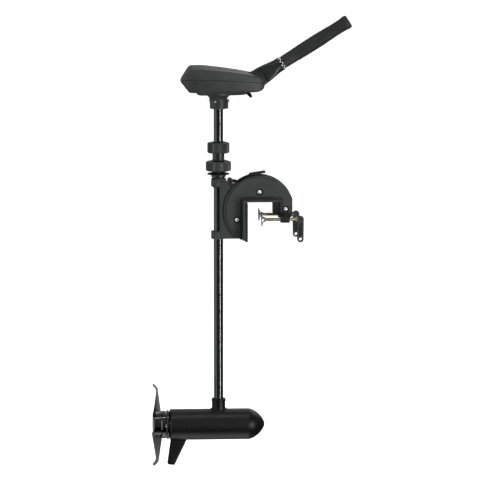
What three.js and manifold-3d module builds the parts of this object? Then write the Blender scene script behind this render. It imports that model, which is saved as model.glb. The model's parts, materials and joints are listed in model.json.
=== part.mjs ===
// Transom-mount electric trolling motor. Millimetres, +Z up.
// The origin is the middle of the saddle's underside, the face that rests on the top of the
// transom, straight above the tilt axis. +X points forward into the boat, the way the tiller
// points; the shaft hangs behind the transom at -X. -Y is the side with the bolt heads.
import * as THREE from "three";
import { mergeVertices } from "three/addons/utils/BufferGeometryUtils.js";
import Module from "manifold-3d";

const wasm = await Module();
wasm.setup();

// ---- Driving dimensions ----
const GAP = 0.3; // clearance kept between pieces that touch
const RUN = 0.4; // radial clearance round a turning or sliding piece
const ROUND = 18; // sides of a large turned piece
const SMALL = 10; // sides of a small turned piece

const TUBE_R = 12.7; // one-inch shaft tube
const TUBE_WALL = 2.4;
const SHAFT_X = -110; // shaft axis, behind the tilt axis

const TILT_Z = -26; // tilt axis below the transom's top
const DISC_R = 94; // rim of the half-disc cheeks
const SECTOR_R = 78; // rim of the notched sector between the cheeks
const CHEEK_IN = 18; // inner face of a cheek, from the middle plane
const CHEEK_OUT = 24;
const CHEEK_BACK_X = 88.6; // flat upright edge of the cheeks beside the clamps
const CHEEK_FOOT_Z = -34.5; // foot of the cheeks' leg beside the clamps
const TILT_TRAVEL = 80; // degrees from running to stowed
const NOTCH_STEP = 10; // degrees between tilt notches

const SADDLE_W = 100; // width of the saddle and the transom pad
const SADDLE_T = 4.5;
const LEG_X = -46; // outer face of the saddle's leg
const LEG_T = 6;
const LEG_FOOT_Z = -106;
const PAD_FACE_X = -33; // face of the transom pad
const BOLTS = [
  ["top", 0, 24],
  ["front", -61, -51],
  ["rear", 70, -22.7],
];
const BOLT_R = 3.8;

const CLAMP_Y = 49; // each clamp screw, from the middle plane
const CLAMP_Z = -46.7;
const CLAMP_X = 3; // rim of the pad when the screw stands as it is stored
const FAR_CLAMP_IN = 2; // the far screw stands this much further in
const SCREW_R = 4.7;
const CLAMP_PAD_R = 17;
const HANDLE_PIVOT_X = 106; // from the pad's rim
const HANDLE_W = 16;
const HANDLE_L = 73;

const CARRIER_Y = 20; // half width of the swivel bracket
const CARRIER_R = DISC_R + 0.6; // its inner curve, just outside the cheeks
const CARRIER_FRONT_X = -107.5;
const CARRIER_FOOT_Z = -103;
const CARRIER_TOP_Z = 42;
const LUG_R = 20;
const BUSH_R = 15.5;
const UPPER_BUSH_Z = [38, 53.5];
const LOWER_BUSH_Z = [-107.7, -88.5];
const SPIGOT_R = 15;
const LEVER_PIVOT = [-78, 52];
const LEVER_PIN_R = 2.4;

const WASHER_R = 31;
const WASHER_Z = [63, 71.5];
const TENSION_KNOB_R = 34.2;
const TENSION_KNOB_Z = [74.8, 103.2];
const COLLET_R = 16;
const COLLET_Z = [103.6, 150];
const DEPTH_KNOB_R = 29.9;
const DEPTH_KNOB_Z = [123.7, 157.2];

const HEAD_Z = 249.2; // bottom of the head's neck
const NECK_R = 23.2;
const NECK_BOLT_Z = 20;
const NECK_BOLT_R = 2.4;
const REAR_FACE = { x: -85.2, z: 55, turn: 229.7 }; // sloping end face of the head, degrees about Y
const PARTING_Z = 74; // joint between head base and cover, above the neck's bottom
const FORK_Y = 16.5; // half width of the slot that takes the tiller's knuckle
const TILLER_PIVOT = [100, 76.8]; // x and z from the bottom of the neck
const TILLER_RISE = 32.1; // degrees above level at rest
const KNUCKLE_R = 21;
const RING_AT = 84.3; // speed ring, along the tiller from its pivot
const TILLER_L = 297;
const TILLER_PIN_R = 4;

const MOTOR_Z = -615; // propeller axis
const MOTOR_R = 41.25;
const MOTOR_WALL = 2.8;
const SOCKET_TOP = 71.5; // above the propeller axis
const REAR_SEAM_X = -80.5; // seams and ends, from the shaft axis
const NOSE_SEAM_X = 80.5;
const NOSE_L = 44.5;
const HOUSING_END_X = -133.3;
const SPINDLE_R = 4.75;
const HUB_R = 35.5;
const HUB_X = [-178.9, -142.4];
const BLADE_X = -165;
const BLADE_ROOT = 30;
const DRIVE_PIN_X = -150;
const PROP_R = 111;

// ---- Materials ----
function finish(color, roughness, metalness = 0) {
  return new THREE.MeshStandardMaterial({ color, roughness, metalness });
}
const MATERIALS = {
  bracketPlastic: finish("#3a3f3d", 0.55),
  headPlastic: finish("#3d4240", 0.5),
  blackPlastic: finish("#191a1a", 0.4),
  gripRubber: finish("#1d1f1f", 0.8),
  tube: finish("#26292a", 0.3, 0.3),
  motorPaint: finish("#131313", 0.35, 0.2),
  propPlastic: finish("#0c0c0c", 0.2),
  stainless: finish("#c8cac8", 0.3, 1),
  zinc: finish("#b9a06a", 0.4, 0.9),
  steel: finish("#8d9092", 0.35, 1),
  copper: finish("#b4713c", 0.4, 1),
  magnet: finish("#3b3b3d", 0.6, 0.2),
  nylon: finish("#d9d6c8", 0.6),
  carbon: finish("#242424", 0.7),
  ringMarks: finish("#2a2c2c", 0.5),
};

// ---- Solid helpers: every cut and join goes through these ----
function solid(geometry) {
  const bare = geometry.clone();
  for (const name of ["normal", "uv"]) {
    bare.deleteAttribute(name);
  }
  const merged = mergeVertices(bare, 1e-4);
  const corners = merged.index.array;
  const kept = [];
  for (let i = 0; i < corners.length; i += 3) {
    const [a, b, c] = corners.slice(i, i + 3);
    if (a !== b && b !== c && c !== a) {
      kept.push(a, b, c);
    }
  }
  const mesh = new wasm.Mesh({
    numProp: 3,
    vertProperties: new Float32Array(merged.attributes.position.array),
    triVerts: new Uint32Array(kept),
  });
  return new wasm.Manifold(mesh);
}

function join(first, ...others) {
  return others.reduce((whole, other) => whole.add(other), first);
}

function cut(first, ...others) {
  return others.reduce((whole, other) => whole.subtract(other), first);
}

function common(first, ...others) {
  return others.reduce((whole, other) => whole.intersect(other), first);
}

function node(name, body, material, parent) {
  const source = body.getMesh();
  const geometry = new THREE.BufferGeometry();
  geometry.setAttribute("position", new THREE.Float32BufferAttribute(source.vertProperties, 3));
  geometry.setIndex(Array.from(source.triVerts));
  geometry.computeVertexNormals();
  const mesh = new THREE.Mesh(geometry, material);
  mesh.name = name;
  parent.add(mesh);
  return mesh;
}

function group(parent, x = 0, y = 0, z = 0) {
  const made = new THREE.Group();
  made.position.set(x, y, z);
  parent.add(made);
  return made;
}

// A solid of revolution from [radius, height] pairs. The profile runs anticlockwise on a
// page with the radius to the right, so that the faces point outward.
function turned(profile, axis, sides = ROUND) {
  const points = profile.map(([radius, height]) => new THREE.Vector2(radius, height));
  const geometry = new THREE.LatheGeometry(points, sides);
  if (axis === "z") {
    geometry.rotateX(Math.PI / 2);
  }
  if (axis === "x") {
    geometry.rotateZ(-Math.PI / 2);
  }
  return solid(geometry);
}

function rod(radius, low, high, axis, sides = ROUND) {
  return turned([[0, low], [radius, low], [radius, high], [0, high]], axis, sides);
}

function ring(inner, outer, low, high, axis, sides = ROUND) {
  const corner = [inner, low];
  return turned([corner, [outer, low], [outer, high], [inner, high], corner], axis, sides);
}

function box(x, y, z) {
  const geometry = new THREE.BoxGeometry(x[1] - x[0], y[1] - y[0], z[1] - z[0]);
  geometry.translate((x[0] + x[1]) / 2, (y[0] + y[1]) / 2, (z[0] + z[1]) / 2);
  return solid(geometry);
}

// A drawn outline made thick. side: drawn in XZ, thick along Y. end: drawn in YZ, thick
// along X. plan: drawn in XY, thick along Z.
function slab(shape, view, low, high, curveSegments = 12) {
  const options = { depth: high - low, bevelEnabled: false, curveSegments };
  const geometry = new THREE.ExtrudeGeometry(shape, options);
  if (view === "side") {
    geometry.rotateX(Math.PI / 2).translate(0, high, 0);
  }
  if (view === "end") {
    geometry.rotateX(Math.PI / 2).rotateZ(Math.PI / 2).translate(low, 0, 0);
  }
  if (view === "plan") {
    geometry.translate(0, 0, low);
  }
  return solid(geometry);
}

function polygon(points) {
  return new THREE.Shape(points.map(([x, y]) => new THREE.Vector2(x, y)));
}

function onCircle(radius, degrees, centre = [0, TILT_Z]) {
  const angle = THREE.MathUtils.degToRad(degrees);
  return [centre[0] + radius * Math.cos(angle), centre[1] + radius * Math.sin(angle)];
}

// Part of a flat ring, from one angle to a larger one, in degrees.
function arcBand(inner, outer, from, to, centre = [0, TILT_Z]) {
  const start = THREE.MathUtils.degToRad(from);
  const end = THREE.MathUtils.degToRad(to);
  const shape = new THREE.Shape();
  shape.absarc(centre[0], centre[1], outer, start, end, false);
  shape.absarc(centre[0], centre[1], inner, end, start, true);
  return shape;
}

// ---- Clamp bracket: everything fixed to the transom ----
function boltHoles(radius = BOLT_R + GAP) {
  return BOLTS.map(([, x, z]) => rod(radius, -40, 40, "y", SMALL).translate(x, 0, z));
}

function cheekShape() {
  const shape = new THREE.Shape();
  const inner = LEG_X - GAP;
  const floor = SADDLE_T + GAP;
  const legInner = 56;
  const backAngle = Math.acos(CHEEK_BACK_X / DISC_R);
  shape.absarc(0, TILT_Z, DISC_R, THREE.MathUtils.degToRad(233), backAngle, true);
  shape.lineTo(CHEEK_BACK_X, CHEEK_FOOT_Z);
  shape.lineTo(legInner, CHEEK_FOOT_Z);
  shape.lineTo(legInner, floor - 3);
  shape.lineTo(legInner - 3, floor);
  shape.lineTo(inner, floor);
  shape.lineTo(inner, LEG_FOOT_Z - 1);
  return shape;
}

function cheeks(parent) {
  const keyway = arcBand(83.5, 88.5, 44, 236);
  for (const [name, low, high, wayLow] of [
    ["near_cheek", -CHEEK_OUT, -CHEEK_IN, -CHEEK_IN - 2],
    ["far_cheek", CHEEK_IN, CHEEK_OUT, CHEEK_IN - 1],
  ]) {
    const blank = slab(cheekShape(), "side", low, high, 22);
    const way = slab(keyway, "side", wayLow, wayLow + 3, 20);
    node(name, cut(blank, way, ...boltHoles()), MATERIALS.bracketPlastic, parent);
  }
}

function saddle(parent) {
  const half = SADDLE_W / 2;
  const shape = new THREE.Shape();
  shape.moveTo(LEG_X, LEG_FOOT_Z);
  shape.lineTo(LEG_X + LEG_T, LEG_FOOT_Z);
  shape.lineTo(LEG_X + LEG_T, 0);
  shape.lineTo(54, 0);
  shape.lineTo(54, SADDLE_T - 2);
  shape.lineTo(52, SADDLE_T);
  shape.lineTo(LEG_X + 4, SADDLE_T);
  shape.quadraticCurveTo(LEG_X, SADDLE_T, LEG_X, SADDLE_T - 4);
  const blank = slab(shape, "side", -half, half, 4);
  node("saddle", blank, MATERIALS.bracketPlastic, parent);
}

// Rubber-faced pad with level ridges that bite into the transom's outer face.
function transomPad(parent) {
  const pitch = 8;
  const back = LEG_X + LEG_T + GAP;
  const points = [[back, -4]];
  const count = 12;
  for (let i = 0; i < count; i += 1) {
    const top = -4 - i * pitch;
    points.push([PAD_FACE_X - 1.4, top], [PAD_FACE_X, top - 1.2]);
    points.push([PAD_FACE_X, top - pitch + 1.2], [PAD_FACE_X - 1.4, top - pitch]);
  }
  points.push([back, -4 - count * pitch]);
  const half = SADDLE_W / 2 - 1;
  const blank = slab(polygon(points.reverse()), "side", -half, half);
  node("transom_pad", blank, MATERIALS.blackPlastic, parent);
}

function tiltSector(parent) {
  const half = CHEEK_IN - GAP;
  const inner = LEG_X - 2 * GAP;
  const floor = SADDLE_T + GAP;
  const lowAngle = 360 - THREE.MathUtils.radToDeg(Math.acos(inner / SECTOR_R));
  const backAngle = THREE.MathUtils.radToDeg(Math.asin((floor - TILT_Z) / SECTOR_R));
  const shape = new THREE.Shape();
  const from = THREE.MathUtils.degToRad(lowAngle);
  const to = THREE.MathUtils.degToRad(backAngle);
  shape.absarc(0, TILT_Z, SECTOR_R, from, to, true);
  shape.lineTo(inner, floor);
  const notches = [];
  for (let angle = 120; angle >= 120 - TILT_TRAVEL; angle -= NOTCH_STEP) {
    const notch = arcBand(SECTOR_R - 5, SECTOR_R + 2, angle - 2.6, angle + 2.6);
    notches.push(slab(notch, "side", -half - 1, half + 1, 1));
  }
  const blank = slab(shape, "side", -half, half, 20);
  node("tilt_sector", cut(blank, ...notches, ...boltHoles()), MATERIALS.blackPlastic, parent);
}

function clampYoke(parent) {
  const half = CHEEK_IN - GAP;
  const barTop = CHEEK_FOOT_Z - GAP;
  const web = box([36.5, CHEEK_BACK_X - 1], [-half, half], [barTop - 1, -GAP]);
  const bar = new THREE.Shape();
  bar.moveTo(49, barTop);
  bar.lineTo(52, -50);
  bar.quadraticCurveTo(53, -55.5, 60, -55.5);
  bar.lineTo(82, -55.5);
  bar.quadraticCurveTo(88, -55.5, 88, -49);
  bar.lineTo(88, barTop);
  const crossbar = slab(bar, "side", -62, 62, 4);
  const threads = [-CLAMP_Y, CLAMP_Y].map((y) =>
    rod(SCREW_R + RUN, 40, 95, "x", SMALL).translate(0, y, CLAMP_Z),
  );
  const body = cut(join(web, crossbar), ...threads, ...boltHoles());
  node("clamp_yoke", body, MATERIALS.bracketPlastic, parent);
}

function cheekBolts(parent) {
  const face = CHEEK_OUT + GAP;
  const headR = 5.6;
  const profile = [
    [0, -face - 2.6], [headR - 1.6, -face - 2.6], [headR, -face - 1], [headR, -face],
    [BOLT_R, -face], [BOLT_R, face], [headR, face], [headR, face + 2.4], [0, face + 2.4],
  ];
  for (const [name, x, z] of BOLTS) {
    const bolt = node(`cheek_bolt_${name}`, turned(profile, "y", SMALL), MATERIALS.stainless, parent);
    bolt.position.set(x, 0, z);
  }
}

// One clamp: a swivelling dish pad, its screw, and a paddle handle that hangs on a pin.
// Its own origin is the middle of the pad's rim, on the screw's axis.
function clampPad(name, parent) {
  const rim = CLAMP_PAD_R;
  const profile = [
    [0, 5.2], [3, 5.2], [rim - 3, 0], [rim, 0], [rim, 2.4], [8, 6.6], [6.4, 8],
    [6.4, 12.5], [3.9, 12.5], [3.9, 7.6], [0, 7.6],
  ];
  node(`${name}_clamp_pad`, turned(profile, "x", 16), MATERIALS.stainless, parent);
}

function clampScrew(name, parent) {
  const tipR = 3.5;
  const tangY = 2;
  const profile = [
    [0, 8], [tipR, 8], [tipR, 13], [SCREW_R, 13.4], [SCREW_R, 93], [SCREW_R + 1.4, 93.4],
    [SCREW_R + 1.4, 97], [0, 97],
  ];
  const tang = join(
    box([95, HANDLE_PIVOT_X], [-tangY, tangY], [-4.6, 4.6]),
    rod(4.6, -tangY, tangY, "y", SMALL).translate(HANDLE_PIVOT_X, 0, 0),
  );
  const eye = rod(2.5, -5, 5, "y", SMALL).translate(HANDLE_PIVOT_X, 0, 0);
  const body = cut(join(turned(profile, "x", SMALL), tang), eye);
  node(`${name}_clamp_screw`, body, MATERIALS.zinc, parent);
}

function clampHandle(name, parent) {
  const handle = group(parent, HANDLE_PIVOT_X, 0, 0);
  const half = HANDLE_W / 2;
  const top = 9;
  const foot = top - HANDLE_L;
  const shape = new THREE.Shape();
  shape.absarc(0, top - half, half, 0, Math.PI, false);
  shape.absarc(0, foot + half - 1, half - 1, Math.PI, 2 * Math.PI, false);
  const blank = slab(shape, "side", -5.5, 5.5, 8);
  const slot = box([-12, 12], [-2.6, 2.6], [-9, 20]);
  const eye = rod(2.6, -10, 10, "y", SMALL);
  const hang = rod(4, -10, 10, "y", SMALL).translate(0, 0, foot + half - 1);
  node(`${name}_clamp_handle`, cut(blank, slot, eye, hang), MATERIALS.blackPlastic, handle);
  const pin = turned([[0, -6.2], [2.2, -6.2], [2.2, 6.2], [0, 6.2]], "y", SMALL);
  node(`${name}_handle_pin`, pin, MATERIALS.stainless, handle);
}

function clamps(parent) {
  for (const [name, y, x] of [
    ["near", -CLAMP_Y, CLAMP_X],
    ["far", CLAMP_Y, CLAMP_X - FAR_CLAMP_IN],
  ]) {
    const clamp = group(parent, x, y, CLAMP_Z);
    clampPad(name, clamp);
    clampScrew(name, clamp);
    clampHandle(name, clamp);
  }
}

// ---- Swivel bracket: rides round the cheeks on a curved tongue, and holds the shaft ----
function carrierShape() {
  const shape = new THREE.Shape();
  const footAngle = 180 + THREE.MathUtils.radToDeg(Math.asin((TILT_Z - CARRIER_FOOT_Z) / CARRIER_R));
  const from = THREE.MathUtils.degToRad(footAngle);
  shape.absarc(0, TILT_Z, CARRIER_R, from, THREE.MathUtils.degToRad(133), true);
  shape.lineTo(...onCircle(CARRIER_R + 3.4, 133));
  shape.lineTo(-72, CARRIER_TOP_Z);
  shape.lineTo(-88, CARRIER_TOP_Z);
  shape.lineTo(-96, 54);
  shape.lineTo(CARRIER_FRONT_X, 54);
  shape.lineTo(CARRIER_FRONT_X, CARRIER_FOOT_Z);
  return shape;
}

function leverEars() {
  const [x, z] = LEVER_PIVOT;
  const shape = new THREE.Shape();
  shape.moveTo(x - 7, CARRIER_TOP_Z - 2);
  shape.lineTo(x + 6, CARRIER_TOP_Z - 2);
  shape.absarc(x, z, 6, 0, Math.PI, false);
  return [[-10, -6], [6, 10]].map(([low, high]) => slab(shape, "side", low, high, 8));
}

function swivelBracket(parent) {
  const tongue = slab(arcBand(SECTOR_R + 0.8, CARRIER_R + 0.5, 128.5, 231.5), "side",
    -CHEEK_IN + RUN, CHEEK_IN - RUN, 11);
  const keys = slab(arcBand(84, 88, 129, 231), "side", -CHEEK_IN - 1.5, CHEEK_IN + 1.5, 11);
  const walls = slab(carrierShape(), "side", -CARRIER_Y, CARRIER_Y, 11);
  const upperLug = turned(
    [[0, 31], [14.5, 31], [LUG_R, 40], [LUG_R, 54.5], [0, 54.5]], "z",
  ).translate(SHAFT_X, 0, 0);
  const lowerLug = rod(LUG_R, -108, -88, "z").translate(SHAFT_X, 0, 0);
  const spigot = rod(SPIGOT_R, 54, 98, "z").translate(SHAFT_X, 0, 0);
  const pin = rod(LEVER_PIN_R + GAP, -15, 15, "y", SMALL).translate(LEVER_PIVOT[0], 0, LEVER_PIVOT[1]);
  const blank = join(walls, tongue, keys, upperLug, lowerLug, spigot, ...leverEars());
  const shaftWay = rod(TUBE_R + RUN, -120, 110, "z").translate(SHAFT_X, 0, 0);
  const bushSeats = [[UPPER_BUSH_Z[0] - 0.5, 54], [-109, -88]].map(([low, high]) =>
    rod(BUSH_R + GAP, low, high, "z").translate(SHAFT_X, 0, 0),
  );
  node("swivel_bracket", cut(blank, shaftWay, ...bushSeats, pin), MATERIALS.bracketPlastic, parent);
}

function shaftBushes(parent) {
  for (const [name, low, high] of [["upper_bush", ...UPPER_BUSH_Z], ["lower_bush", ...LOWER_BUSH_Z]]) {
    const bush = node(name, ring(TUBE_R + RUN, BUSH_R, low, high, "z"), MATERIALS.nylon, parent);
    bush.position.x = SHAFT_X;
  }
}

function tiltLever(parent) {
  const [x, z] = LEVER_PIVOT;
  const shape = new THREE.Shape();
  shape.moveTo(x - 5.5, z - 2.5);
  shape.lineTo(x, z - 6);
  shape.lineTo(-70, 48.4);
  shape.absarc(0, TILT_Z, DISC_R + 1.5, THREE.MathUtils.degToRad(130.5), THREE.MathUtils.degToRad(104), true);
  shape.lineTo(-20, 71.4);
  shape.lineTo(15, 71.4);
  shape.lineTo(16.5, 73);
  shape.lineTo(15, 74.8);
  shape.lineTo(-26, 74.8);
  shape.absarc(0, TILT_Z, DISC_R + 5.5, THREE.MathUtils.degToRad(107), THREE.MathUtils.degToRad(126), false);
  shape.lineTo(x + 3, z + 6);
  shape.lineTo(x - 3.5, z + 4.5);
  const strap = slab(shape, "side", -5.5, 5.5, 8);
  const tab = box([-24, 15], [-11, 11], [71.6, 74.6]);
  const pawl = slab(arcBand(SECTOR_R + 0.5, DISC_R + 2.5, 118.2, 121.8), "side", -5, 5, 1);
  const eye = rod(LEVER_PIN_R + GAP, -15, 15, "y", SMALL).translate(x, 0, z);
  node("tilt_lever", cut(join(strap, tab, pawl), eye), MATERIALS.blackPlastic, parent);
}

function leverPin(parent) {
  const pin = node("lever_pin", rod(LEVER_PIN_R, -11.5, 11.5, "y", SMALL), MATERIALS.stainless, parent);
  pin.position.set(LEVER_PIVOT[0], 0, LEVER_PIVOT[1]);
}

// ---- Collars on the shaft; their own origin is on the shaft's axis ----
function thrustWasher(parent) {
  const [low, high] = WASHER_Z;
  const profile = [
    [SPIGOT_R + RUN, low], [22, low], [WASHER_R, low + 4], [WASHER_R, low + 6.5],
    [22, high], [SPIGOT_R + RUN, high], [SPIGOT_R + RUN, low],
  ];
  node("thrust_washer", turned(profile, "z"), MATERIALS.blackPlastic, parent);
}

function steeringKnob(parent) {
  const [low, high] = TENSION_KNOB_Z;
  const bore = SPIGOT_R + RUN;
  const profile = [
    [bore, low], [TENSION_KNOB_R - 2, low], [TENSION_KNOB_R, low + 2],
    [TENSION_KNOB_R, high - 3], [TENSION_KNOB_R - 3, high], [bore, high], [bore, low],
  ];
  node("steering_tension_knob", turned(profile, "z"), MATERIALS.bracketPlastic, parent);
}

function depthCollar(parent) {
  const [low, high] = COLLET_Z;
  const [knobLow, knobHigh] = DEPTH_KNOB_Z;
  const bore = TUBE_R + RUN;
  const collet = turned([
    [bore, low], [17.5, low], [COLLET_R, low + 4], [COLLET_R, high - 6], [14.4, high],
    [bore, high], [bore, low],
  ], "z");
  node("depth_collet", collet, MATERIALS.blackPlastic, parent);
  const knobBore = COLLET_R + RUN;
  const knob = turned([
    [knobBore, knobLow], [DEPTH_KNOB_R - 2, knobLow], [DEPTH_KNOB_R, knobLow + 2],
    [DEPTH_KNOB_R, knobHigh - 2], [DEPTH_KNOB_R - 2, knobHigh], [bore, knobHigh],
    [bore, high + 2], [knobBore, high + 0.5], [knobBore, knobLow],
  ], "z");
  node("depth_lock_knob", knob, MATERIALS.bracketPlastic, parent);
}

function shaftTube(parent) {
  const low = MOTOR_Z + MOTOR_R + 3;
  const high = HEAD_Z + 43;
  const boltHole = rod(NECK_BOLT_R + RUN, -30, 30, "x", SMALL).translate(0, 0, HEAD_Z + NECK_BOLT_Z);
  const body = cut(ring(TUBE_R - TUBE_WALL, TUBE_R, low, high, "z"), boltHole);
  node("shaft_tube", body, MATERIALS.tube, parent);
}

// ---- Control head; its own origin is the bottom of the neck, on the shaft's axis ----
function headSide() {
  const shape = new THREE.Shape();
  shape.moveTo(-101.4, 76.8);
  shape.lineTo(-93.3, 64.5);
  shape.lineTo(-77.1, 45.4);
  shape.lineTo(-63.6, 43.5);
  shape.lineTo(-55.5, 38.5);
  shape.lineTo(66, 38.5);
  shape.lineTo(76.8, 42.6);
  shape.lineTo(98, 46.2);
  shape.quadraticCurveTo(124.3, 48, 124.3, 68);
  shape.quadraticCurveTo(124, 78, 108, 87);
  shape.quadraticCurveTo(60, 104, -9.6, 110.8);
  shape.quadraticCurveTo(-50, 114.5, -79, 115.8);
  shape.quadraticCurveTo(-86, 115.5, -90, 106);
  return shape;
}

function headPlan(shrink = 0) {
  const shape = new THREE.Shape();
  const side = 59 - shrink;
  shape.moveTo(-102 + shrink, -26 + shrink);
  shape.bezierCurveTo(-98 + shrink, -48, -72, -side, -40, -side);
  shape.bezierCurveTo(30, -side, 90, -48 + shrink, 112, -36 + shrink);
  shape.quadraticCurveTo(125 - shrink, -30, 126 - shrink, -18);
  shape.lineTo(126 - shrink, 18);
  shape.quadraticCurveTo(125 - shrink, 30, 112, 36 - shrink);
  shape.bezierCurveTo(90, 48 - shrink, 30, side, -40, side);
  shape.bezierCurveTo(-72, side, -98 + shrink, 48, -102 + shrink, 26 - shrink);
  return shape;
}

// The hollow inside the closed head; the front, which carries the tiller's pin, is solid.
function headCavity() {
  const side = polygon([
    [-92, 77], [-88, 68], [-72, 49.5], [-60, 47.5], [66, 47.5], [66, 96], [-9.6, 106],
    [-78, 111.5], [-84, 104],
  ]);
  return common(slab(side, "side", -70, 70), slab(headPlan(3.5), "plan", 30, 120, 4));
}

function headSolid() {
  return common(slab(headSide(), "side", -70, 70, 4), slab(headPlan(), "plan", 20, 130, 5));
}

// Room for the tiller's knuckle, swept through the tiller's travel.
function tillerSlot() {
  const [x, z] = TILLER_PIVOT;
  const barrel = rod(28, -FORK_Y, FORK_Y, "y").translate(x, 0, z);
  const mouth = box([x, x + 60], [-FORK_Y, FORK_Y], [z - 28, z + 60]);
  const roof = box([x - 20, x + 60], [-FORK_Y, FORK_Y], [z, z + 60]);
  const pin = rod(TILLER_PIN_R + GAP, -60, 60, "y", SMALL).translate(x, 0, z);
  return join(barrel, mouth, roof, pin);
}

function headCover(parent) {
  const upper = box([-150, 150], [-80, 80], [PARTING_Z + GAP / 2, 150]);
  const body = cut(common(headSolid(), upper), headCavity(), tillerSlot());
  node("head_cover", body, MATERIALS.headPlastic, parent);
}

// Puts a shape drawn about the origin, facing +Z, on the sloping rear face of the base.
function onRearFace(geometry) {
  geometry.rotateY(THREE.MathUtils.degToRad(REAR_FACE.turn));
  geometry.translate(REAR_FACE.x, 0, REAR_FACE.z);
  return solid(geometry);
}

function rearPanelBlock(length, width, outer, inner) {
  const geometry = new THREE.BoxGeometry(length, width, outer - inner);
  return onRearFace(geometry.translate(0, 0, (outer + inner) / 2));
}

function glandRod(radius, low, high) {
  const geometry = new THREE.CylinderGeometry(radius, radius, high - low, SMALL);
  return onRearFace(geometry.rotateX(Math.PI / 2).translate(0, 0, (low + high) / 2));
}

function headBase(parent) {
  const lower = box([-150, 150], [-80, 80], [0, PARTING_Z - GAP / 2]);
  const neck = turned([
    [0, 0], [NECK_R, 0], [NECK_R, 25], [25.5, 30], [33, 35], [42, 38.5], [42, 45], [0, 45],
  ], "z");
  const bore = rod(TUBE_R + GAP, -5, 44, "z");
  const wireWay = rod(9, 40, 60, "z", SMALL);
  const boltHole = rod(NECK_BOLT_R + RUN, -40, 40, "x", SMALL).translate(0, 0, NECK_BOLT_Z);
  const releaseSlot = box([69, 91], [-7.8, 7.8], [30, 47]);
  const body = cut(
    join(common(headSolid(), lower), neck), headCavity(), tillerSlot(), bore, wireWay, boltHole,
    releaseSlot, rearPanelBlock(23, 60, 5, -2.5), glandRod(7.3, -14, 4),
  );
  node("head_base", body, MATERIALS.headPlastic, parent);
}

function headFittings(parent) {
  const panel = cut(rearPanelBlock(22.4, 59.4, -0.2, -2.2), glandRod(7.3, -14, 4));
  node("rear_panel", panel, MATERIALS.blackPlastic, parent);
  const gland = cut(join(glandRod(7, -12, 1), glandRod(4.6, 0, 4)), glandRod(3, -13, 5));
  node("cable_gland", gland, MATERIALS.gripRubber, parent);
  const shank = rod(NECK_BOLT_R, -24.5, 29, "x", SMALL);
  const bolt = join(shank, rod(4.4, -27, -24, "x", 6), rod(4.2, 24, 27, "x", 6));
  node("neck_bolt", bolt, MATERIALS.stainless, parent).position.z = NECK_BOLT_Z;
  const coil = join(box([-22, 22], [-18, 18], [50, 64]), rod(11, 60, 72, "z", SMALL));
  node("speed_switch", coil, MATERIALS.blackPlastic, parent);
}

// Small sprung trigger under the head's front that frees the tiller's tilt.
function tillerRelease(parent) {
  const shape = polygon([[70.5, 44.5], [70.5, 40.5], [86.5, 30], [89.5, 31], [88, 34], [74.5, 44.5]]);
  node("tiller_release", slab(shape, "side", -7, 7), MATERIALS.blackPlastic, parent);
}

// ---- Tiller; its own X runs along the handle from the pivot ----
function tillerBase(parent) {
  const cone = turned([[0, 10], [24.3, 14], [20.5, 48], [18.7, 66], [18.7, 84], [0, 84]], "x");
  const flats = [[-40, -16], [16, 40]].map((y) => box([0, 38], y, [-40, 40]));
  const knuckle = rod(KNUCKLE_R, -16, 16, "y");
  const seat = rod(12.2, 36, 90, "x");
  const pin = rod(TILLER_PIN_R + GAP, -20, 20, "y", SMALL);
  const body = cut(join(knuckle, cut(cone, ...flats)), seat, pin);
  node("tiller_base", body, MATERIALS.blackPlastic, parent);
  node("tiller_tube", ring(9.6, 11.6, 37, 275, "x", SMALL), MATERIALS.tube, parent);
}

function speedRing(parent) {
  const bore = 12.1;
  const profile = [
    [bore, RING_AT + GAP], [17.3, RING_AT + GAP], [17.3, RING_AT + 3.4], [13.6, RING_AT + 3.4],
    [13.6, 270], [bore, 270], [bore, RING_AT + GAP],
  ];
  node("speed_ring", turned(profile, "x", 16), MATERIALS.ringMarks, parent);
}

function grip(parent) {
  const low = RING_AT + 3.8;
  const profile = [
    [14.2, low], [16.6, low], [17.3, 127], [17.9, 129], [19, 195], [17.3, 258], [18.4, 290],
    [16.8, 295.5], [9, TILLER_L], [0, TILLER_L], [0, 288], [14.2, 288], [14.2, low],
  ];
  node("tiller_grip", turned(profile, "x", 16), MATERIALS.gripRubber, parent);
}

function tiller(parent) {
  const arm = group(parent, TILLER_PIVOT[0], 0, TILLER_PIVOT[1]);
  arm.rotation.y = -THREE.MathUtils.degToRad(TILLER_RISE);
  tillerBase(arm);
  speedRing(arm);
  grip(arm);
  node("tiller_pin", rod(TILLER_PIN_R, -27, 27, "y", SMALL), MATERIALS.stainless, arm);
}

// ---- Lower unit; its own origin is on the propeller's axis, under the shaft ----
function motorShell(parent) {
  const inner = MOTOR_R - MOTOR_WALL;
  const wireHole = rod(8, 0, 60, "z", SMALL);
  const centre = cut(ring(inner, MOTOR_R, REAR_SEAM_X + GAP, NOSE_SEAM_X - GAP, "x", 24), wireHole);
  node("centre_housing", centre, MATERIALS.motorPaint, parent);

  const socket = turned([
    [TUBE_R + GAP, 30], [26, 30], [22, 46], [18, 49], [18, SOCKET_TOP - 1.5],
    [16.5, SOCKET_TOP], [TUBE_R + GAP, SOCKET_TOP], [TUBE_R + GAP, 30],
  ], "z");
  const saddleCut = rod(MOTOR_R + GAP, -60, 60, "x", 24);
  node("motor_socket", cut(socket, saddleCut), MATERIALS.motorPaint, parent);
}

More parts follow.
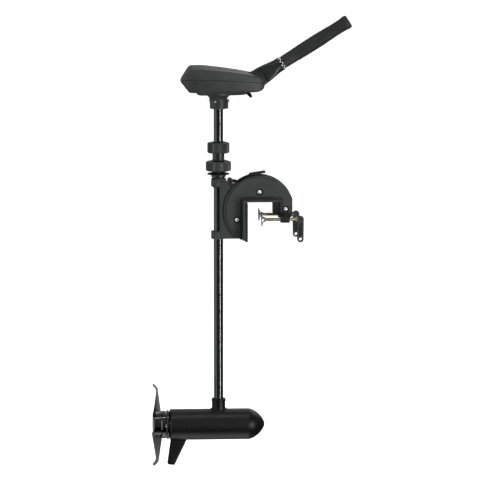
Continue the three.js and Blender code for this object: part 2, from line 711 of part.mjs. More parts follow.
function noseCone(parent) {
  const bearingSeat = rod(11.4, NOSE_SEAM_X - 1, NOSE_SEAM_X + 7.5, "x", SMALL);
  const profile = [[0, NOSE_SEAM_X], [MOTOR_R, NOSE_SEAM_X]];
  const steps = 9;
  const fullness = 1.6;
  for (let i = 1; i <= steps; i += 1) {
    const t = Math.sin((i / steps) * (Math.PI / 2));
    const radius = MOTOR_R * (1 - t ** fullness) ** (1 / fullness);
    profile.push([i === steps ? 0 : radius, NOSE_SEAM_X + NOSE_L * t]);
  }
  node("nose_cone", cut(turned(profile, "x", 24), bearingSeat), MATERIALS.motorPaint, parent);
}

function brushEndHousing(parent) {
  const inner = MOTOR_R - MOTOR_WALL;
  const end = HOUSING_END_X;
  const cup = turned([
    [SPINDLE_R + RUN, end], [MOTOR_R - 1.5, end], [MOTOR_R, end + 1.5], [MOTOR_R, REAR_SEAM_X - GAP],
    [inner, REAR_SEAM_X - GAP], [inner, end + 8], [15, end + 8], [15, end + 19],
    [11.3, end + 19], [11.3, end + 10], [9.3, end + 10], [9.3, end + 3],
    [SPINDLE_R + RUN, end + 3], [SPINDLE_R + RUN, end],
  ], "x", 24);
  const fin = polygon([
    [-130.3, -38], [-86.8, -38], [-86.8, -42], [-119, -111.5], [-135, -109.7], [-138.2, -104.5],
  ]);
  const body = join(cup, cut(slab(fin, "side", -3, 3), rod(MOTOR_R - 1, -150, -60, "x", 24)));
  node("brush_end_housing", body, MATERIALS.motorPaint, parent);
  const cap = turned([
    [SPINDLE_R + 4, -141.8], [37.5, -141.8], [39.3, -140], [39.3, -136.5], [37, -134],
    [SPINDLE_R + 4, -134], [SPINDLE_R + 4, -141.8],
  ], "x");
  node("rear_seal_cap", cap, MATERIALS.propPlastic, parent);
}

function motorInside(parent) {
  for (const [name, centre] of [["upper_magnet", 90], ["lower_magnet", 270]]) {
    const arc = arcBand(32.4, MOTOR_R - MOTOR_WALL - 1, centre - 62, centre + 62, [0, 0]);
    const magnet = slab(arc, "end", -38, 42, 10);
    node(name, magnet, MATERIALS.magnet, parent);
  }
  const rearAt = HOUSING_END_X + 10.3;
  node("rear_bearing", ring(SPINDLE_R + 0.3, 11, rearAt, rearAt + 8, "x", SMALL), MATERIALS.steel, parent);
  node("front_bearing", ring(SPINDLE_R + 0.3, 11.1, 79.8, 87.4, "x", SMALL), MATERIALS.steel, parent);
  const seal = ring(SPINDLE_R + RUN, 9, HOUSING_END_X + 3.3, HOUSING_END_X + 9.6, "x", SMALL);
  node("shaft_seal", seal, MATERIALS.gripRubber, parent);
  for (const [name, side] of [["left", -1], ["right", 1]]) {
    const brush = node(`${name}_brush`, box([-84, -74], [-6, 6], [-5, 5]), MATERIALS.carbon, parent);
    brush.position.y = side * 21;
    const bolt = node(`${name}_through_bolt`, rod(2.2, -124.9, 80, "x", 8), MATERIALS.steel, parent);
    bolt.position.y = side * 35.4;
  }
}

function armature(parent) {
  const spindle = cut(
    rod(SPINDLE_R, -176, 87, "x", SMALL),
    rod(2.3, -20, 20, "z", 8).translate(DRIVE_PIN_X, 0, 0),
  );
  node("armature_shaft", spindle, MATERIALS.steel, parent);
  const slotAngles = [45, 135, 225, 315];
  const slots = slotAngles.map((angle) => box([-40, 44], [18, 28], [-4, 4]).rotate([angle, 0, 0]));
  const core = cut(ring(SPINDLE_R + GAP, 31.5, -36, 40, "x"), ...slots);
  node("armature_core", core, MATERIALS.steel, parent);
  const ends = [[-52, -36.5], [40.5, 54]].map(([low, high]) => ring(SPINDLE_R + 2, 29, low, high, "x", 16));
  const bars = slotAngles.map((angle) => box([-38, 42], [18.4, 27.6], [-3.6, 3.6]).rotate([angle, 0, 0]));
  node("armature_windings", join(...ends, ...bars), MATERIALS.copper, parent);
  const commutator = ring(SPINDLE_R + GAP, 14, -88, -66, "x", 16);
  node("commutator", commutator, MATERIALS.copper, parent);
}

// A blade section at one radius: a thin lens set at the blade's pitch there, swept aft.
function bladeRing(reach) {
  const share = (reach - BLADE_ROOT) / (PROP_R - BLADE_ROOT);
  const chord = 74 - 44 * share;
  const thick = 5 - 3.4 * share;
  const pitch = THREE.MathUtils.degToRad(16 * (1 - share) ** 1.3 + 1.5);
  const curl = share > 0.85 ? (share - 0.85) * 45 : 0;
  const lens = [[-0.5, 0], [-0.2, 0.5], [0.25, 0.5], [0.5, 0], [0.25, -0.5], [-0.2, -0.5]];
  return lens.map(([along, across]) => {
    const u = along * chord;
    const v = across * thick;
    const x = BLADE_X + u * Math.sin(pitch) + v * Math.cos(pitch) - curl;
    return [x, u * Math.cos(pitch) - v * Math.sin(pitch), reach];
  });
}

function blade() {
  const reaches = [BLADE_ROOT, 45, 62, 80, 94, 102, PROP_R];
  const rings = reaches.map(bladeRing);
  const count = rings[0].length;
  const positions = rings.flat(2);
  const index = [];
  for (let i = 0; i + 1 < rings.length; i += 1) {
    for (let j = 0; j < count; j += 1) {
      const a = i * count + j;
      const b = i * count + ((j + 1) % count);
      index.push(a, b, a + count, b, b + count, a + count);
    }
  }
  const last = (rings.length - 1) * count;
  for (let j = 1; j + 1 < count; j += 1) {
    index.push(0, j + 1, j);
    index.push(last, last + j, last + j + 1);
  }
  const geometry = new THREE.BufferGeometry();
  geometry.setAttribute("position", new THREE.Float32BufferAttribute(positions, 3));
  geometry.setIndex(index);
  return solid(geometry);
}

function propeller(parent) {
  const [rear, front] = HUB_X;
  const hub = turned([
    [0, rear - 0.5], [22, rear - 0.5], [HUB_R - 2, rear], [HUB_R, rear + 2],
    [HUB_R + 1.6, front - 2], [HUB_R, front], [0, front],
  ], "x");
  const bore = rod(SPINDLE_R + GAP, rear - 5, front + 5, "x", SMALL);
  const nutPocket = rod(12, rear - 5, rear + 13, "x", SMALL);
  const pinSlot = box([-152.6, front + 1], [-2.6, 2.6], [-13, 13]);
  const blades = join(blade(), blade().rotate([180, 0, 0]));
  const body = cut(join(hub, blades), bore, nutPocket, pinSlot);
  node("propeller", body, MATERIALS.propPlastic, parent);
  const pin = node("drive_pin", rod(2, -12.5, 12.5, "z", 8), MATERIALS.stainless, parent);
  pin.position.x = DRIVE_PIN_X;
  const nut = cut(rod(9, rear + 1, rear + 12.6, "x", 6), bore);
  node("propeller_nut", nut, MATERIALS.stainless, parent);
}

// ---- The whole motor ----
const motor = new THREE.Group();
cheeks(motor);
saddle(motor);
transomPad(motor);
tiltSector(motor);
clampYoke(motor);
cheekBolts(motor);
clamps(motor);
swivelBracket(motor);
shaftBushes(motor);
tiltLever(motor);
leverPin(motor);

const shaft = group(motor, SHAFT_X, 0, 0);
thrustWasher(shaft);
steeringKnob(shaft);
depthCollar(shaft);
shaftTube(shaft);

const head = group(shaft, 0, 0, HEAD_Z);
headBase(head);
headCover(head);
headFittings(head);
tillerRelease(head);
tiller(head);

const lowerUnit = group(shaft, 0, 0, MOTOR_Z);
motorShell(lowerUnit);
noseCone(lowerUnit);
brushEndHousing(lowerUnit);
motorInside(lowerUnit);
armature(lowerUnit);
propeller(lowerUnit);

export default motor;
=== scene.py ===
"""Trolling motor: the finished surfaces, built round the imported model. Drawn in millimetres."""
import json
from math import atan2, cos, degrees, pi, radians, sin, sqrt, tau

import bmesh
import bpy
from mathutils import Matrix, Vector


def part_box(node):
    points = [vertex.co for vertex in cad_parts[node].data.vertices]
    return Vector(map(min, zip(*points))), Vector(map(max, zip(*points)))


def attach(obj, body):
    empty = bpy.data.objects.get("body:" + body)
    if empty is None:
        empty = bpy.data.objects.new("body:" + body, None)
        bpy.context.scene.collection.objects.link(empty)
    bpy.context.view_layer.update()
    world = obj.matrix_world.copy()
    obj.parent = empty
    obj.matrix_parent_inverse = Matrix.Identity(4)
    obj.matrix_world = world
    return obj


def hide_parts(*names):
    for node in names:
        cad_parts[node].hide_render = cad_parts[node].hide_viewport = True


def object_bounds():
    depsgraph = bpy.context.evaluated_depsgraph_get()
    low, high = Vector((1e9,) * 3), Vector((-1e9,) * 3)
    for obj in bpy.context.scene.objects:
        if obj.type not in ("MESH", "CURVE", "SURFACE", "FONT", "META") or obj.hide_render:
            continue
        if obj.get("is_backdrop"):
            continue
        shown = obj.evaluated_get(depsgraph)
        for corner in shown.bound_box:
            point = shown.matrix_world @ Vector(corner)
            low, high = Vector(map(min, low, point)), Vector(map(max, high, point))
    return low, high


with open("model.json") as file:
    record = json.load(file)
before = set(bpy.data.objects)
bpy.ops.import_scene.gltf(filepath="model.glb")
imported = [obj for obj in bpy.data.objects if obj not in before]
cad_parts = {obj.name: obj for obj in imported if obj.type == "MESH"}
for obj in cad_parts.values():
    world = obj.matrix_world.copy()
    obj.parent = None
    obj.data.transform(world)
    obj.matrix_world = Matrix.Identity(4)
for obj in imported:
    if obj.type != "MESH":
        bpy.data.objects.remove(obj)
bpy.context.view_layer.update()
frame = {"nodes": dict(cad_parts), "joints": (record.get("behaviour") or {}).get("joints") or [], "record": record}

# ---- What the frame says, in millimetres ----
M = 1000.0  # millimetres in a metre
RECORD = frame["record"]
JOINTS = {joint["name"]: joint for joint in frame["joints"]}
BODY_OF = {node: body for body, nodes in RECORD["behaviour"]["bodies"].items() for node in nodes}
SLOT_OF = {part["node"]: part["material_slot"] for part in RECORD["subparts"]}


def low(node):
    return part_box(node)[0] * M


def high(node):
    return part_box(node)[1] * M


def pivot(joint):
    return Vector(JOINTS[joint]["pos_m"]) * M


def moved(x, y, z):
    return Matrix.Translation((x, y, z))


def rotated(angle, axis):
    """A turn in degrees about X, Y or Z."""
    return Matrix.Rotation(radians(angle), 4, axis)


TILT_Z = pivot("shaft_tilt").z
SHAFT_X = pivot("steering").x
MOTOR_Z = pivot("propeller_spin").z
HEAD_Z = low("head_base").z
DISC_R = -low("near_cheek").x
TUBE_R = high("shaft_tube").y
PAINT = 0.8  # the pod's coat of paint and its draft
MOTOR_R = high("centre_housing").y + PAINT
GAP = 0.3
BORE_R = TUBE_R + 0.4  # of the bores that the tube slides in

UPRIGHT = moved(SHAFT_X, 0, 0)
ALONG_X = rotated(90, "Y")
ACROSS = rotated(-90, "X")
UNDER_SHAFT = moved(SHAFT_X, 0, MOTOR_Z)
LOWER_UNIT = UNDER_SHAFT @ ALONG_X
HEAD = moved(SHAFT_X, 0, HEAD_Z)
slide = Vector(JOINTS["tiller_extend"]["axis"])
TILLER = Matrix.Translation(pivot("tiller_tilt")) @ Matrix.Rotation(atan2(slide.x, slide.z), 4, "Y")


def across(x, z, y=0.0):
    """A frame at that place whose own Z runs along Y, across the object."""
    return moved(x, y, z) @ ACROSS


def show(made):
    bpy.context.scene.collection.objects.link(made)


# ---- Shape helpers ----
def eased(points, radius, steps=4, loop=False):
    """The same line with its corners rounded."""
    count = len(points)
    made = []
    for i, point in enumerate(points):
        here = Vector(point)
        before = Vector(points[i - 1]) - here
        after = Vector(points[(i + 1) % count]) - here
        at_end = not loop and i in (0, count - 1)
        if at_end or before.length * after.length == 0 or before.angle(after) > radians(168):
            made.append(tuple(here))
            continue
        start = here + before.normalized() * min(radius, before.length * 0.48)
        end = here + after.normalized() * min(radius, after.length * 0.48)
        for k in range(steps + 1):
            t = k / steps
            made.append(tuple(start * (1 - t) ** 2 + here * 2 * t * (1 - t) + end * t * t))
    return made


def arc(radius, start, end, steps, centre=(0.0, 0.0)):
    """Points on a circle, between two angles in degrees."""
    angles = [radians(start + (end - start) * i / steps) for i in range(steps + 1)]
    return [(centre[0] + radius * cos(a), centre[1] + radius * sin(a)) for a in angles]


def disc_arc(radius, start, end, steps):
    """An arc about the axis that the bracket tilts on."""
    return arc(radius, start, end, steps, (0, TILT_Z))


def hexagon(radius):
    return [(radius * cos(tau * k / 6), radius * sin(tau * k / 6)) for k in range(6)]


def through(points):
    """A smooth function of x through (x, y) points, with no overshoot."""
    xs = [x for x, _ in points]
    ys = [y for _, y in points]
    steps = [(ys[i + 1] - ys[i]) / (xs[i + 1] - xs[i]) for i in range(len(xs) - 1)]
    slopes = [steps[0]]
    for one, two in zip(steps, steps[1:]):
        slopes.append(0.0 if one * two <= 0 else 2 * one * two / (one + two))
    slopes.append(steps[-1])

    def value(x):
        x = min(max(x, xs[0]), xs[-1])
        i = max(k for k in range(len(xs) - 1) if xs[k] <= x)
        width = xs[i + 1] - xs[i]
        t = (x - xs[i]) / width
        return (
            ys[i] * (1 + 2 * t) * (1 - t) ** 2
            + ys[i + 1] * t * t * (3 - 2 * t)
            + width * t * (1 - t) * (slopes[i] * (1 - t) - slopes[i + 1] * t)
        )

    return value


def bridge(made, one, two):
    """Faces between two rings of corners; a ring of one corner is a pole."""
    count = max(len(one), len(two))
    for i in range(count):
        j = (i + 1) % count
        corners = [one[i % len(one)], one[j % len(one)], two[j % len(two)], two[i % len(two)]]
        corners = list(dict.fromkeys(corners))
        if len(corners) > 2:
            made.faces.new(corners)


def closed(made, place=None):
    bmesh.ops.recalc_face_normals(made, faces=made.faces)
    if place is not None:
        made.transform(place)
    return made


def loft(rings, place=None, ends=True):
    """A solid through rings of 3-D points, all with the same number of points."""
    made = bmesh.new()
    corners = [[made.verts.new(point) for point in ring] for ring in rings]
    for one, two in zip(corners, corners[1:]):
        bridge(made, one, two)
    if ends:
        made.faces.new(corners[0])
        made.faces.new(corners[-1])
    else:
        bridge(made, corners[-1], corners[0])
    return closed(made, place)


def spin(profile, place=None, segments=72, wave=None):
    """A solid of revolution about its own Z, from (radius, height) pairs. wave changes a radius with
    the angle round the axis."""
    made = bmesh.new()
    rings = []
    for radius, height in profile:
        if radius < 1e-6:
            rings.append([made.verts.new((0, 0, height))])
            continue
        ring = []
        for i in range(segments):
            angle = tau * i / segments
            reach = wave(radius, height, angle) if wave else radius
            ring.append(made.verts.new((reach * cos(angle), reach * sin(angle), height)))
        rings.append(ring)
    if profile[0] == profile[-1]:
        bmesh.ops.delete(made, geom=rings[-1], context="VERTS")
        rings[-1] = rings[0]
    for one, two in zip(rings, rings[1:]):
        bridge(made, one, two)
    return closed(made, place)


def rod(radius, start, end, place=None, segments=48, edge=0.4):
    edge = min(edge, radius / 2, (end - start) / 3)
    return spin(eased([(0, start), (radius, start), (radius, end), (0, end)], edge), place, segments)


def ring(corners, edge, place=None, segments=72, wave=None):
    """A ring of revolution, from the (radius, height) corners of its section."""
    line = eased(corners, edge, loop=True)
    return spin(line + line[:1], place, segments, wave)


def pipe(inner, outer, start, end, place=None, segments=72, edge=0.5):
    return ring([(inner, start), (outer, start), (outer, end), (inner, end)], edge, place, segments)


def rivet(head, edge, place, segments=32):
    """A pin with the same head on both ends, from (radius, height) pairs of one of them."""
    line = [(radius, -height) for radius, height in reversed(head)] + head
    return spin(eased(line, edge), place, segments)


def inset(outline, distance):
    """The outline moved inward by that distance; outward if it is negative."""
    count = len(outline)
    area = sum(
        outline[i - 1][0] * outline[i][1] - outline[i][0] * outline[i - 1][1] for i in range(count)
    )
    side = 1 if area > 0 else -1
    made = []
    for i in range(count):
        here = Vector(outline[i])
        one = (here - Vector(outline[i - 1])).normalized()
        two = (Vector(outline[(i + 1) % count]) - here).normalized()
        inward = Vector((-one.y - two.y, one.x + two.x)) * side / max(1 + one.dot(two), 0.35)
        made.append(tuple(here + inward * distance))
    return made


PLANES = {
    "side": lambda a, b, h: (a, h, b),  # drawn in XZ, thick along Y
    "plan": lambda a, b, h: (a, b, h),  # drawn in XY, thick along Z
    "end": lambda a, b, h: (h, a, b),  # drawn in YZ, thick along X
}


def stack(outline, rim, plane="side", place=None):
    """A slab from an outline and its rim: (inset, height) pairs from one face to the other."""
    spot = PLANES[plane]
    rings = []
    for distance, height in rim:
        rings.append([spot(a, b, height) for a, b in inset(outline, distance)])
    return loft(rings, place)


def slab(outline, start, end, plane="side", edge=0.8, place=None):
    """A slab with rounded rims."""
    turn = [radians(30 * k) for k in range(4)]
    first = [(edge * (1 - sin(a)), start + edge * (1 - cos(a))) for a in turn]
    last = [(edge * (1 - sin(a)), end - edge * (1 - cos(a))) for a in reversed(turn)]
    return stack(outline, first + last, plane, place)


def plate(outline, half, edge=0.8, place=None):
    """A slab drawn in XZ, as thick on one side of the middle plane as on the other."""
    return slab(outline, -half, half, "side", edge, place)


def block(x, y, z, edge=0.6, place=None):
    """A brick with rounded edges, from its ends along the three axes."""
    outline = [(x[0], z[0]), (x[1], z[0]), (x[1], z[1]), (x[0], z[1])]
    return slab(eased(outline, edge, 3, loop=True), y[0], y[1], "side", edge, place)


def hex_nut(radius, corner, rim, place):
    """A nut along its place's Z, from the (inset, height) pairs of its rim."""
    return stack(eased(hexagon(radius), corner, 2, loop=True), rim, "plan", place)


def as_object(shape):
    mesh = bpy.data.meshes.new("work")
    shape.to_mesh(mesh)
    shape.free()
    made = bpy.data.objects.new("work", mesh)
    show(made)
    return made


def combined(base, tools, operation):
    """base joined with the tools, or cut by them."""
    whole = as_object(base)
    helpers = [as_object(tool) for tool in tools]
    for helper in helpers:
        step = whole.modifiers.new("step", "BOOLEAN")
        step.operation = operation
        step.solver = "MANIFOLD"
        step.object = helper
    graph = bpy.context.evaluated_depsgraph_get()
    mesh = bpy.data.meshes.new_from_object(whole.evaluated_get(graph), depsgraph=graph)
    made = bmesh.new()
    made.from_mesh(mesh)
    for used in [whole, *helpers]:
        bpy.data.objects.remove(used)
    bpy.data.meshes.remove(mesh)
    return made


def cut(base, *tools):
    return combined(base, tools, "DIFFERENCE")


def join(base, *others):
    return combined(base, others, "UNION")


def together(*shapes):
    """Separate solids as one shape."""
    made = bmesh.new()
    for shape in shapes:
        mesh = bpy.data.meshes.new("work")
        shape.to_mesh(mesh)
        made.from_mesh(mesh)
        bpy.data.meshes.remove(mesh)
        shape.free()
    return made


# ---- Materials ----
LOOKS = {}


def mapped(tree, value, source, result):
    """A node's value, stretched from one range to another."""
    node = tree.nodes.new("ShaderNodeMapRange")
    for end, amount in zip(("From Min", "From Max", "To Min", "To Max"), source + result):
        node.inputs[end].default_value = amount
    tree.links.new(value, node.inputs["Value"])
    return node.outputs["Result"]


def noise(tree, size, detail, vector):
    """A noise with grains of about that many millimetres."""
    texture = tree.nodes.new("ShaderNodeTexNoise")
    texture.inputs["Scale"].default_value = M / size
    texture.inputs["Detail"].default_value = detail
    tree.links.new(vector, texture.inputs["Vector"])
    return texture.outputs["Fac"]


def spread(tree, value, start, end):
    """The middle of a noise's range, stretched between two values."""
    return mapped(tree, value, (0.3, 0.7), (start, end))


def blend(tree, share, one, two):
    """Two colours mixed; each is a tuple or a node's output."""
    mixed = tree.nodes.new("ShaderNodeMix")
    mixed.data_type = "RGBA"
    tree.links.new(share, mixed.inputs["Factor"])
    for name, value in (("A", one), ("B", two)):
        socket = [s for s in mixed.inputs if s.name == name and s.type == "RGBA"][0]
        if isinstance(value, tuple):
            socket.default_value = (*value, 1)
        else:
            tree.links.new(value, socket)
    return [s for s in mixed.outputs if s.type == "RGBA"][0]


def rubbed_tone(tree, vector, color, mottle, worn):
    """The colour in darker and lighter patches, paler where the surface has an edge."""
    darker = tuple(channel * (1 - mottle) for channel in color)
    lighter = tuple(channel * (1 + mottle) for channel in color)
    tone = blend(tree, spread(tree, noise(tree, 28, 3, vector), 0, 1), darker, lighter)
    edges = tree.nodes.new("ShaderNodeNewGeometry").outputs["Pointiness"]
    rubbed = mapped(tree, edges, (0.53, 0.64), (0, worn))
    pale = tuple(min(1.0, channel * 1.8 + 0.03) for channel in color)
    return blend(tree, rubbed, tone, pale)


def relief(tree, height, depth):
    """The normal of a surface with that relief, as deep as that in millimetres."""
    bumps = tree.nodes.new("ShaderNodeBump")
    bumps.inputs["Strength"].default_value = 0.5
    bumps.inputs["Distance"].default_value = depth / M
    tree.links.new(height, bumps.inputs["Height"])
    return bumps.outputs["Normal"]


def look(slot, color, rough, metal=0.0, grain=0.35, bump=0.04, mottle=0.12, worn=0.25, stretch=(1, 1, 1),
         coat=0.0, shine=0.5):
    """A moulded or machined surface: fine grain in the normal, patches of colour and roughness a few
    centimetres across, and paler edges where hands and gear rub. grain is in millimetres."""
    made = bpy.data.materials.new(slot)
    made.use_nodes = True
    tree = made.node_tree
    surface = tree.nodes["Principled BSDF"].inputs
    place = tree.nodes.new("ShaderNodeTexCoord").outputs["Object"]
    turned = tree.nodes.new("ShaderNodeMapping")
    turned.inputs["Scale"].default_value = stretch
    tree.links.new(place, turned.inputs["Vector"])
    along = turned.outputs["Vector"]
    streaks = noise(tree, 3.5, 4, along)
    tree.links.new(rubbed_tone(tree, place, color, mottle, worn), surface["Base Color"])
    tree.links.new(spread(tree, streaks, rough * 0.85, rough * 1.15), surface["Roughness"])
    tree.links.new(relief(tree, noise(tree, grain, 2, along), bump), surface["Normal"])
    surface["Metallic"].default_value = metal
    surface["Specular IOR Level"].default_value = shine
    surface["Coat Weight"].default_value = coat
    surface["Coat Roughness"].default_value = 0.08
    LOOKS[slot] = made


look("bracket_plastic", (0.031, 0.037, 0.034), 0.52, shine=0.4)
look("head_plastic", (0.039, 0.045, 0.042), 0.50, shine=0.3)
look("black_plastic", (0.010, 0.011, 0.011), 0.42, shine=0.4)
look("deep_black", (0.004, 0.004, 0.004), 0.42, shine=0.18)
look("grip_rubber", (0.018, 0.019, 0.019), 0.62, bump=0.06, shine=0.4)
look("shaft_composite", (0.010, 0.012, 0.012), 0.08, grain=0.8, bump=0.006, stretch=(1, 1, 0.03))
look("motor_paint", (0.0035, 0.0032, 0.0035), 0.38, grain=0.5, bump=0.02)
look("propeller_plastic", (0.003, 0.003, 0.003), 0.05, grain=0.9, bump=0.002, coat=0.7, shine=0.9)
look("stainless", (0.93, 0.92, 0.89), 0.34, metal=0.7, grain=0.25, bump=0.01, worn=0.1)
look("zinc_steel", (0.52, 0.44, 0.28), 0.34, metal=1, grain=0.3, bump=0.015, mottle=0.2)
look("steel", (0.55, 0.55, 0.54), 0.32, metal=1, grain=0.3, bump=0.02)
look("copper", (0.62, 0.28, 0.13), 0.36, metal=1, grain=0.4, bump=0.03, stretch=(0.1, 1, 1))
look("magnet", (0.05, 0.05, 0.055), 0.65, grain=0.5, bump=0.06)
look("nylon", (0.62, 0.60, 0.52), 0.5, worn=0.1)
look("carbon", (0.02, 0.02, 0.02), 0.75, grain=0.4, bump=0.06)
look("ring_plastic", (0.024, 0.027, 0.026), 0.45)
look("tick_ink", (0.92, 0.92, 0.88), 0.5, worn=0)


def piece(name, shape, nodes=(), body=None, slot=None, ink=None, crease=34):
    """A finished piece. It rides with the CAD nodes it stands for, and takes their finish."""
    nodes = [nodes] if isinstance(nodes, str) else list(nodes)
    slot = slot or SLOT_OF[nodes[0]]
    shape.transform(Matrix.Scale(1 / M, 4))
    mesh = bpy.data.meshes.new(name)
    shape.to_mesh(mesh)
    shape.free()
    mesh.materials.append(LOOKS[ink or slot])
    mesh.shade_smooth()
    mesh.set_sharp_from_angle(angle=radians(crease))
    made = bpy.data.objects.new(name, mesh)
    show(made)
    made.modifiers.new("even_faces", "WEIGHTED_NORMAL").keep_sharp = True
    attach(made, body or BODY_OF[nodes[0]])
    if nodes:
        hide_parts(*nodes)
    return made


# ---- Camera, light and floor ----
def studio():
    """The camera stands far off, so that the view is nearly flat."""
    centre = Vector((-0.0517, 0, -0.1094))
    distance, azimuth, elevation = 12.0, radians(-3.4), radians(8.8)
    back = Vector((sin(azimuth) * cos(elevation), -cos(azimuth) * cos(elevation), sin(elevation)))
    camera = bpy.data.objects.new("camera", bpy.data.cameras.new("camera"))
    camera.data.lens = 333.0
    camera.location = centre + back * distance
    camera.rotation_euler = (-back).to_track_quat("-Z", "Y").to_euler()
    show(camera)
    bpy.context.scene.camera = camera
    bpy.context.scene.view_settings.view_transform = "Standard"
    lights()
    backdrop()
    floor(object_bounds()[0].z - 0.22)


def lights():
    softbox("left_softbox", (-80, -6), 2.8, (3.6, 3.2), 58, matte=False)
    softbox("right_softbox", (70, -6), 2.4, (1.6, 2.0), 7, mirrored=False)
    softbox("right_strip", (40, -10), 3.0, (0.15, 1.4), 68, matte=False)
    softbox("front_softbox", (24, 4), 2.4, (1.8, 1.6), 33, mirrored=False)
    softbox("top_strip", (0, 67), 2.4, (3.0, 0.08), 10)
    softbox("back_softbox", (142, 32), 3.2, (2.8, 1.2), 34)
    sun = bpy.data.objects.new("overhead", bpy.data.lights.new("overhead", "SUN"))
    sun.data.energy = 1.6
    sun.data.angle = radians(60)
    sun.rotation_euler = (radians(14), radians(-16), 0)
    sun.visible_glossy = False
    show(sun)


def softbox(name, direction, distance, size, power, matte=True, mirrored=True):
    """A rectangular light aimed at the object's middle, from an azimuth and elevation in degrees.
    Azimuth 0 is on the camera's side and azimuth 90 on the tiller's. A matte light brightens matte
    surfaces, and glossy pieces show a mirrored one."""
    data = bpy.data.lights.new(name, "AREA")
    data.shape = "RECTANGLE"
    data.size, data.size_y = size
    data.energy = power
    lamp = bpy.data.objects.new(name, data)
    azimuth, elevation = radians(direction[0]), radians(direction[1])
    level = cos(elevation)
    away = Vector((sin(azimuth) * level, -cos(azimuth) * level, sin(elevation)))
    lamp.location = Vector((-0.05, 0, -0.1)) + away * distance
    lamp.rotation_euler = away.to_track_quat("Z", "Y").to_euler()
    lamp.visible_camera = False
    lamp.visible_diffuse = matte
    lamp.visible_glossy = mirrored
    show(lamp)


def total(tree, one, two):
    added = tree.nodes.new("ShaderNodeMath")
    added.operation = "ADD"
    tree.links.new(one, added.inputs[0])
    tree.links.new(two, added.inputs[1])
    return added.outputs["Value"]


def backdrop():
    """White to the eye; what lights the object is dimmer in front and below than behind and under."""
    world = bpy.data.worlds.new("studio")
    bpy.context.scene.world = world
    world.use_nodes = True
    tree = world.node_tree
    links = tree.links
    split = tree.nodes.new("ShaderNodeSeparateXYZ")
    links.new(tree.nodes.new("ShaderNodeTexCoord").outputs["Generated"], split.inputs["Vector"])
    up, away = split.outputs["Z"], split.outputs["Y"]
    under = mapped(tree, up, (-0.80, -0.97), (0, 1.25))
    level = mapped(tree, up, (-0.35, 0.0), (0, 0.14))
    over = mapped(tree, up, (0.1, 0.7), (0, 0.12))
    behind = mapped(tree, away, (0.1, 0.9), (0, 0.2))
    lit = tree.nodes.new("ShaderNodeBackground")
    above = total(tree, total(tree, level, over), behind)
    links.new(total(tree, under, above), lit.inputs["Strength"])
    shown = tree.nodes["Background"]
    shown.inputs["Color"].default_value = (1, 1, 1, 1)
    path = tree.nodes.new("ShaderNodeLightPath")
    mixed = tree.nodes.new("ShaderNodeMixShader")
    links.new(path.outputs["Is Camera Ray"], mixed.inputs["Fac"])
    links.new(lit.outputs["Background"], mixed.inputs[1])
    links.new(shown.outputs["Background"], mixed.inputs[2])
    links.new(mixed.outputs["Shader"], tree.nodes["World Output"].inputs["Surface"])


def floor(height):
    """Wide enough that its edge is never in view, and pale enough to vanish into the backdrop."""
    mesh = bpy.data.meshes.new("floor")
    half = 60.0
    corners = [(x * half, y * half, height) for x, y in ((-1, -1), (1, -1), (1, 1), (-1, 1))]
    mesh.from_pydata(corners, [], [(0, 1, 2, 3)])
    pale = bpy.data.materials.new("floor")
    pale.use_nodes = True
    surface = pale.node_tree.nodes["Principled BSDF"].inputs
    surface["Base Color"].default_value = (0.9, 0.9, 0.9, 1)
    surface["Roughness"].default_value = 0.9
    surface["Emission Color"].default_value = (1, 1, 1, 1)
    surface["Emission Strength"].default_value = 0.55
    mesh.materials.append(pale)
    made = bpy.data.objects.new("floor", mesh)
    made.visible_diffuse = False
    made.visible_glossy = False
    made.visible_shadow = False
    show(made)
    made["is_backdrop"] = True


# ---- Clamp bracket ----
DRAIN_HOLES = [(-60.7, -83), (-52, -93)]
DRAIN_R = 3.6
BOLTS = {"top": 9.8, "front": 9.8, "rear": 9.4}  # radius of the recess round each bolt's head
BOLT_HOLE_R = 4.2
RECESS = 1.9  # how deep a bolt's head sits
COVE = [(-7.4, 0.5), (-7, -0.5), (-3.6, -1.9), (3, -2.1)]  # (inset, height) of the dip round the throat
CHEEK_OUT = high("far_cheek").y
CHEEK_IN = low("far_cheek").y
LEG_X = low("saddle").x
SADDLE_TOP = high("saddle").z
SADDLE_LEG = 6.0
ROOF = SADDLE_TOP + GAP  # of the throat
THROAT_BACK = 56.0


def bolt_place(name):
    node = f"cheek_bolt_{name}"
    middle = (low(node) + high(node)) / 2
    return middle.x, middle.z


def cheek_outline():
    back = high("near_cheek").x
    back_angle = degrees(atan2(sqrt(DISC_R ** 2 - back ** 2), back))
    rear_foot = low("clamp_yoke").z + 21
    leg_foot = low("near_cheek").z - 1.5
    line = disc_arc(DISC_R, 233, back_angle, 72)
    line += eased([line[-1], (back, rear_foot), (THROAT_BACK, rear_foot), (THROAT_BACK, ROOF),
                   (LEG_X - GAP, ROOF), (LEG_X - GAP, leg_foot), line[0]], 4)[1:-1]
    return line


def throat_outline():
    """The opening that the transom goes into, up to the saddle."""
    mouth = -140
    return [(LEG_X - GAP, mouth), (THROAT_BACK, mouth), (THROAT_BACK, ROOF), (LEG_X - GAP, ROOF)]


def cheek_groove(start, end):
    """The cutter for the shallow groove that follows the cheek's round edge."""
    line = disc_arc(DISC_R - 1.6, 225, 60, 72) + disc_arc(DISC_R - 4.2, 60, 225, 72)
    return slab(line, *sorted((start, end)), edge=0.3)


def bolt_recess(name, side):
    """The cutter for a bolt's hole and the recess round its head."""
    x, z = bolt_place(name)
    radius = BOLTS[name]
    line = [(0, 17), (BOLT_HOLE_R, 17), (BOLT_HOLE_R, CHEEK_OUT - 2.2),
            (radius - 0.6, CHEEK_OUT - RECESS), (radius, CHEEK_OUT + 1), (0, CHEEK_OUT + 1)]
    return spin([(r, side * h) for r, h in line], across(x, z), 48)


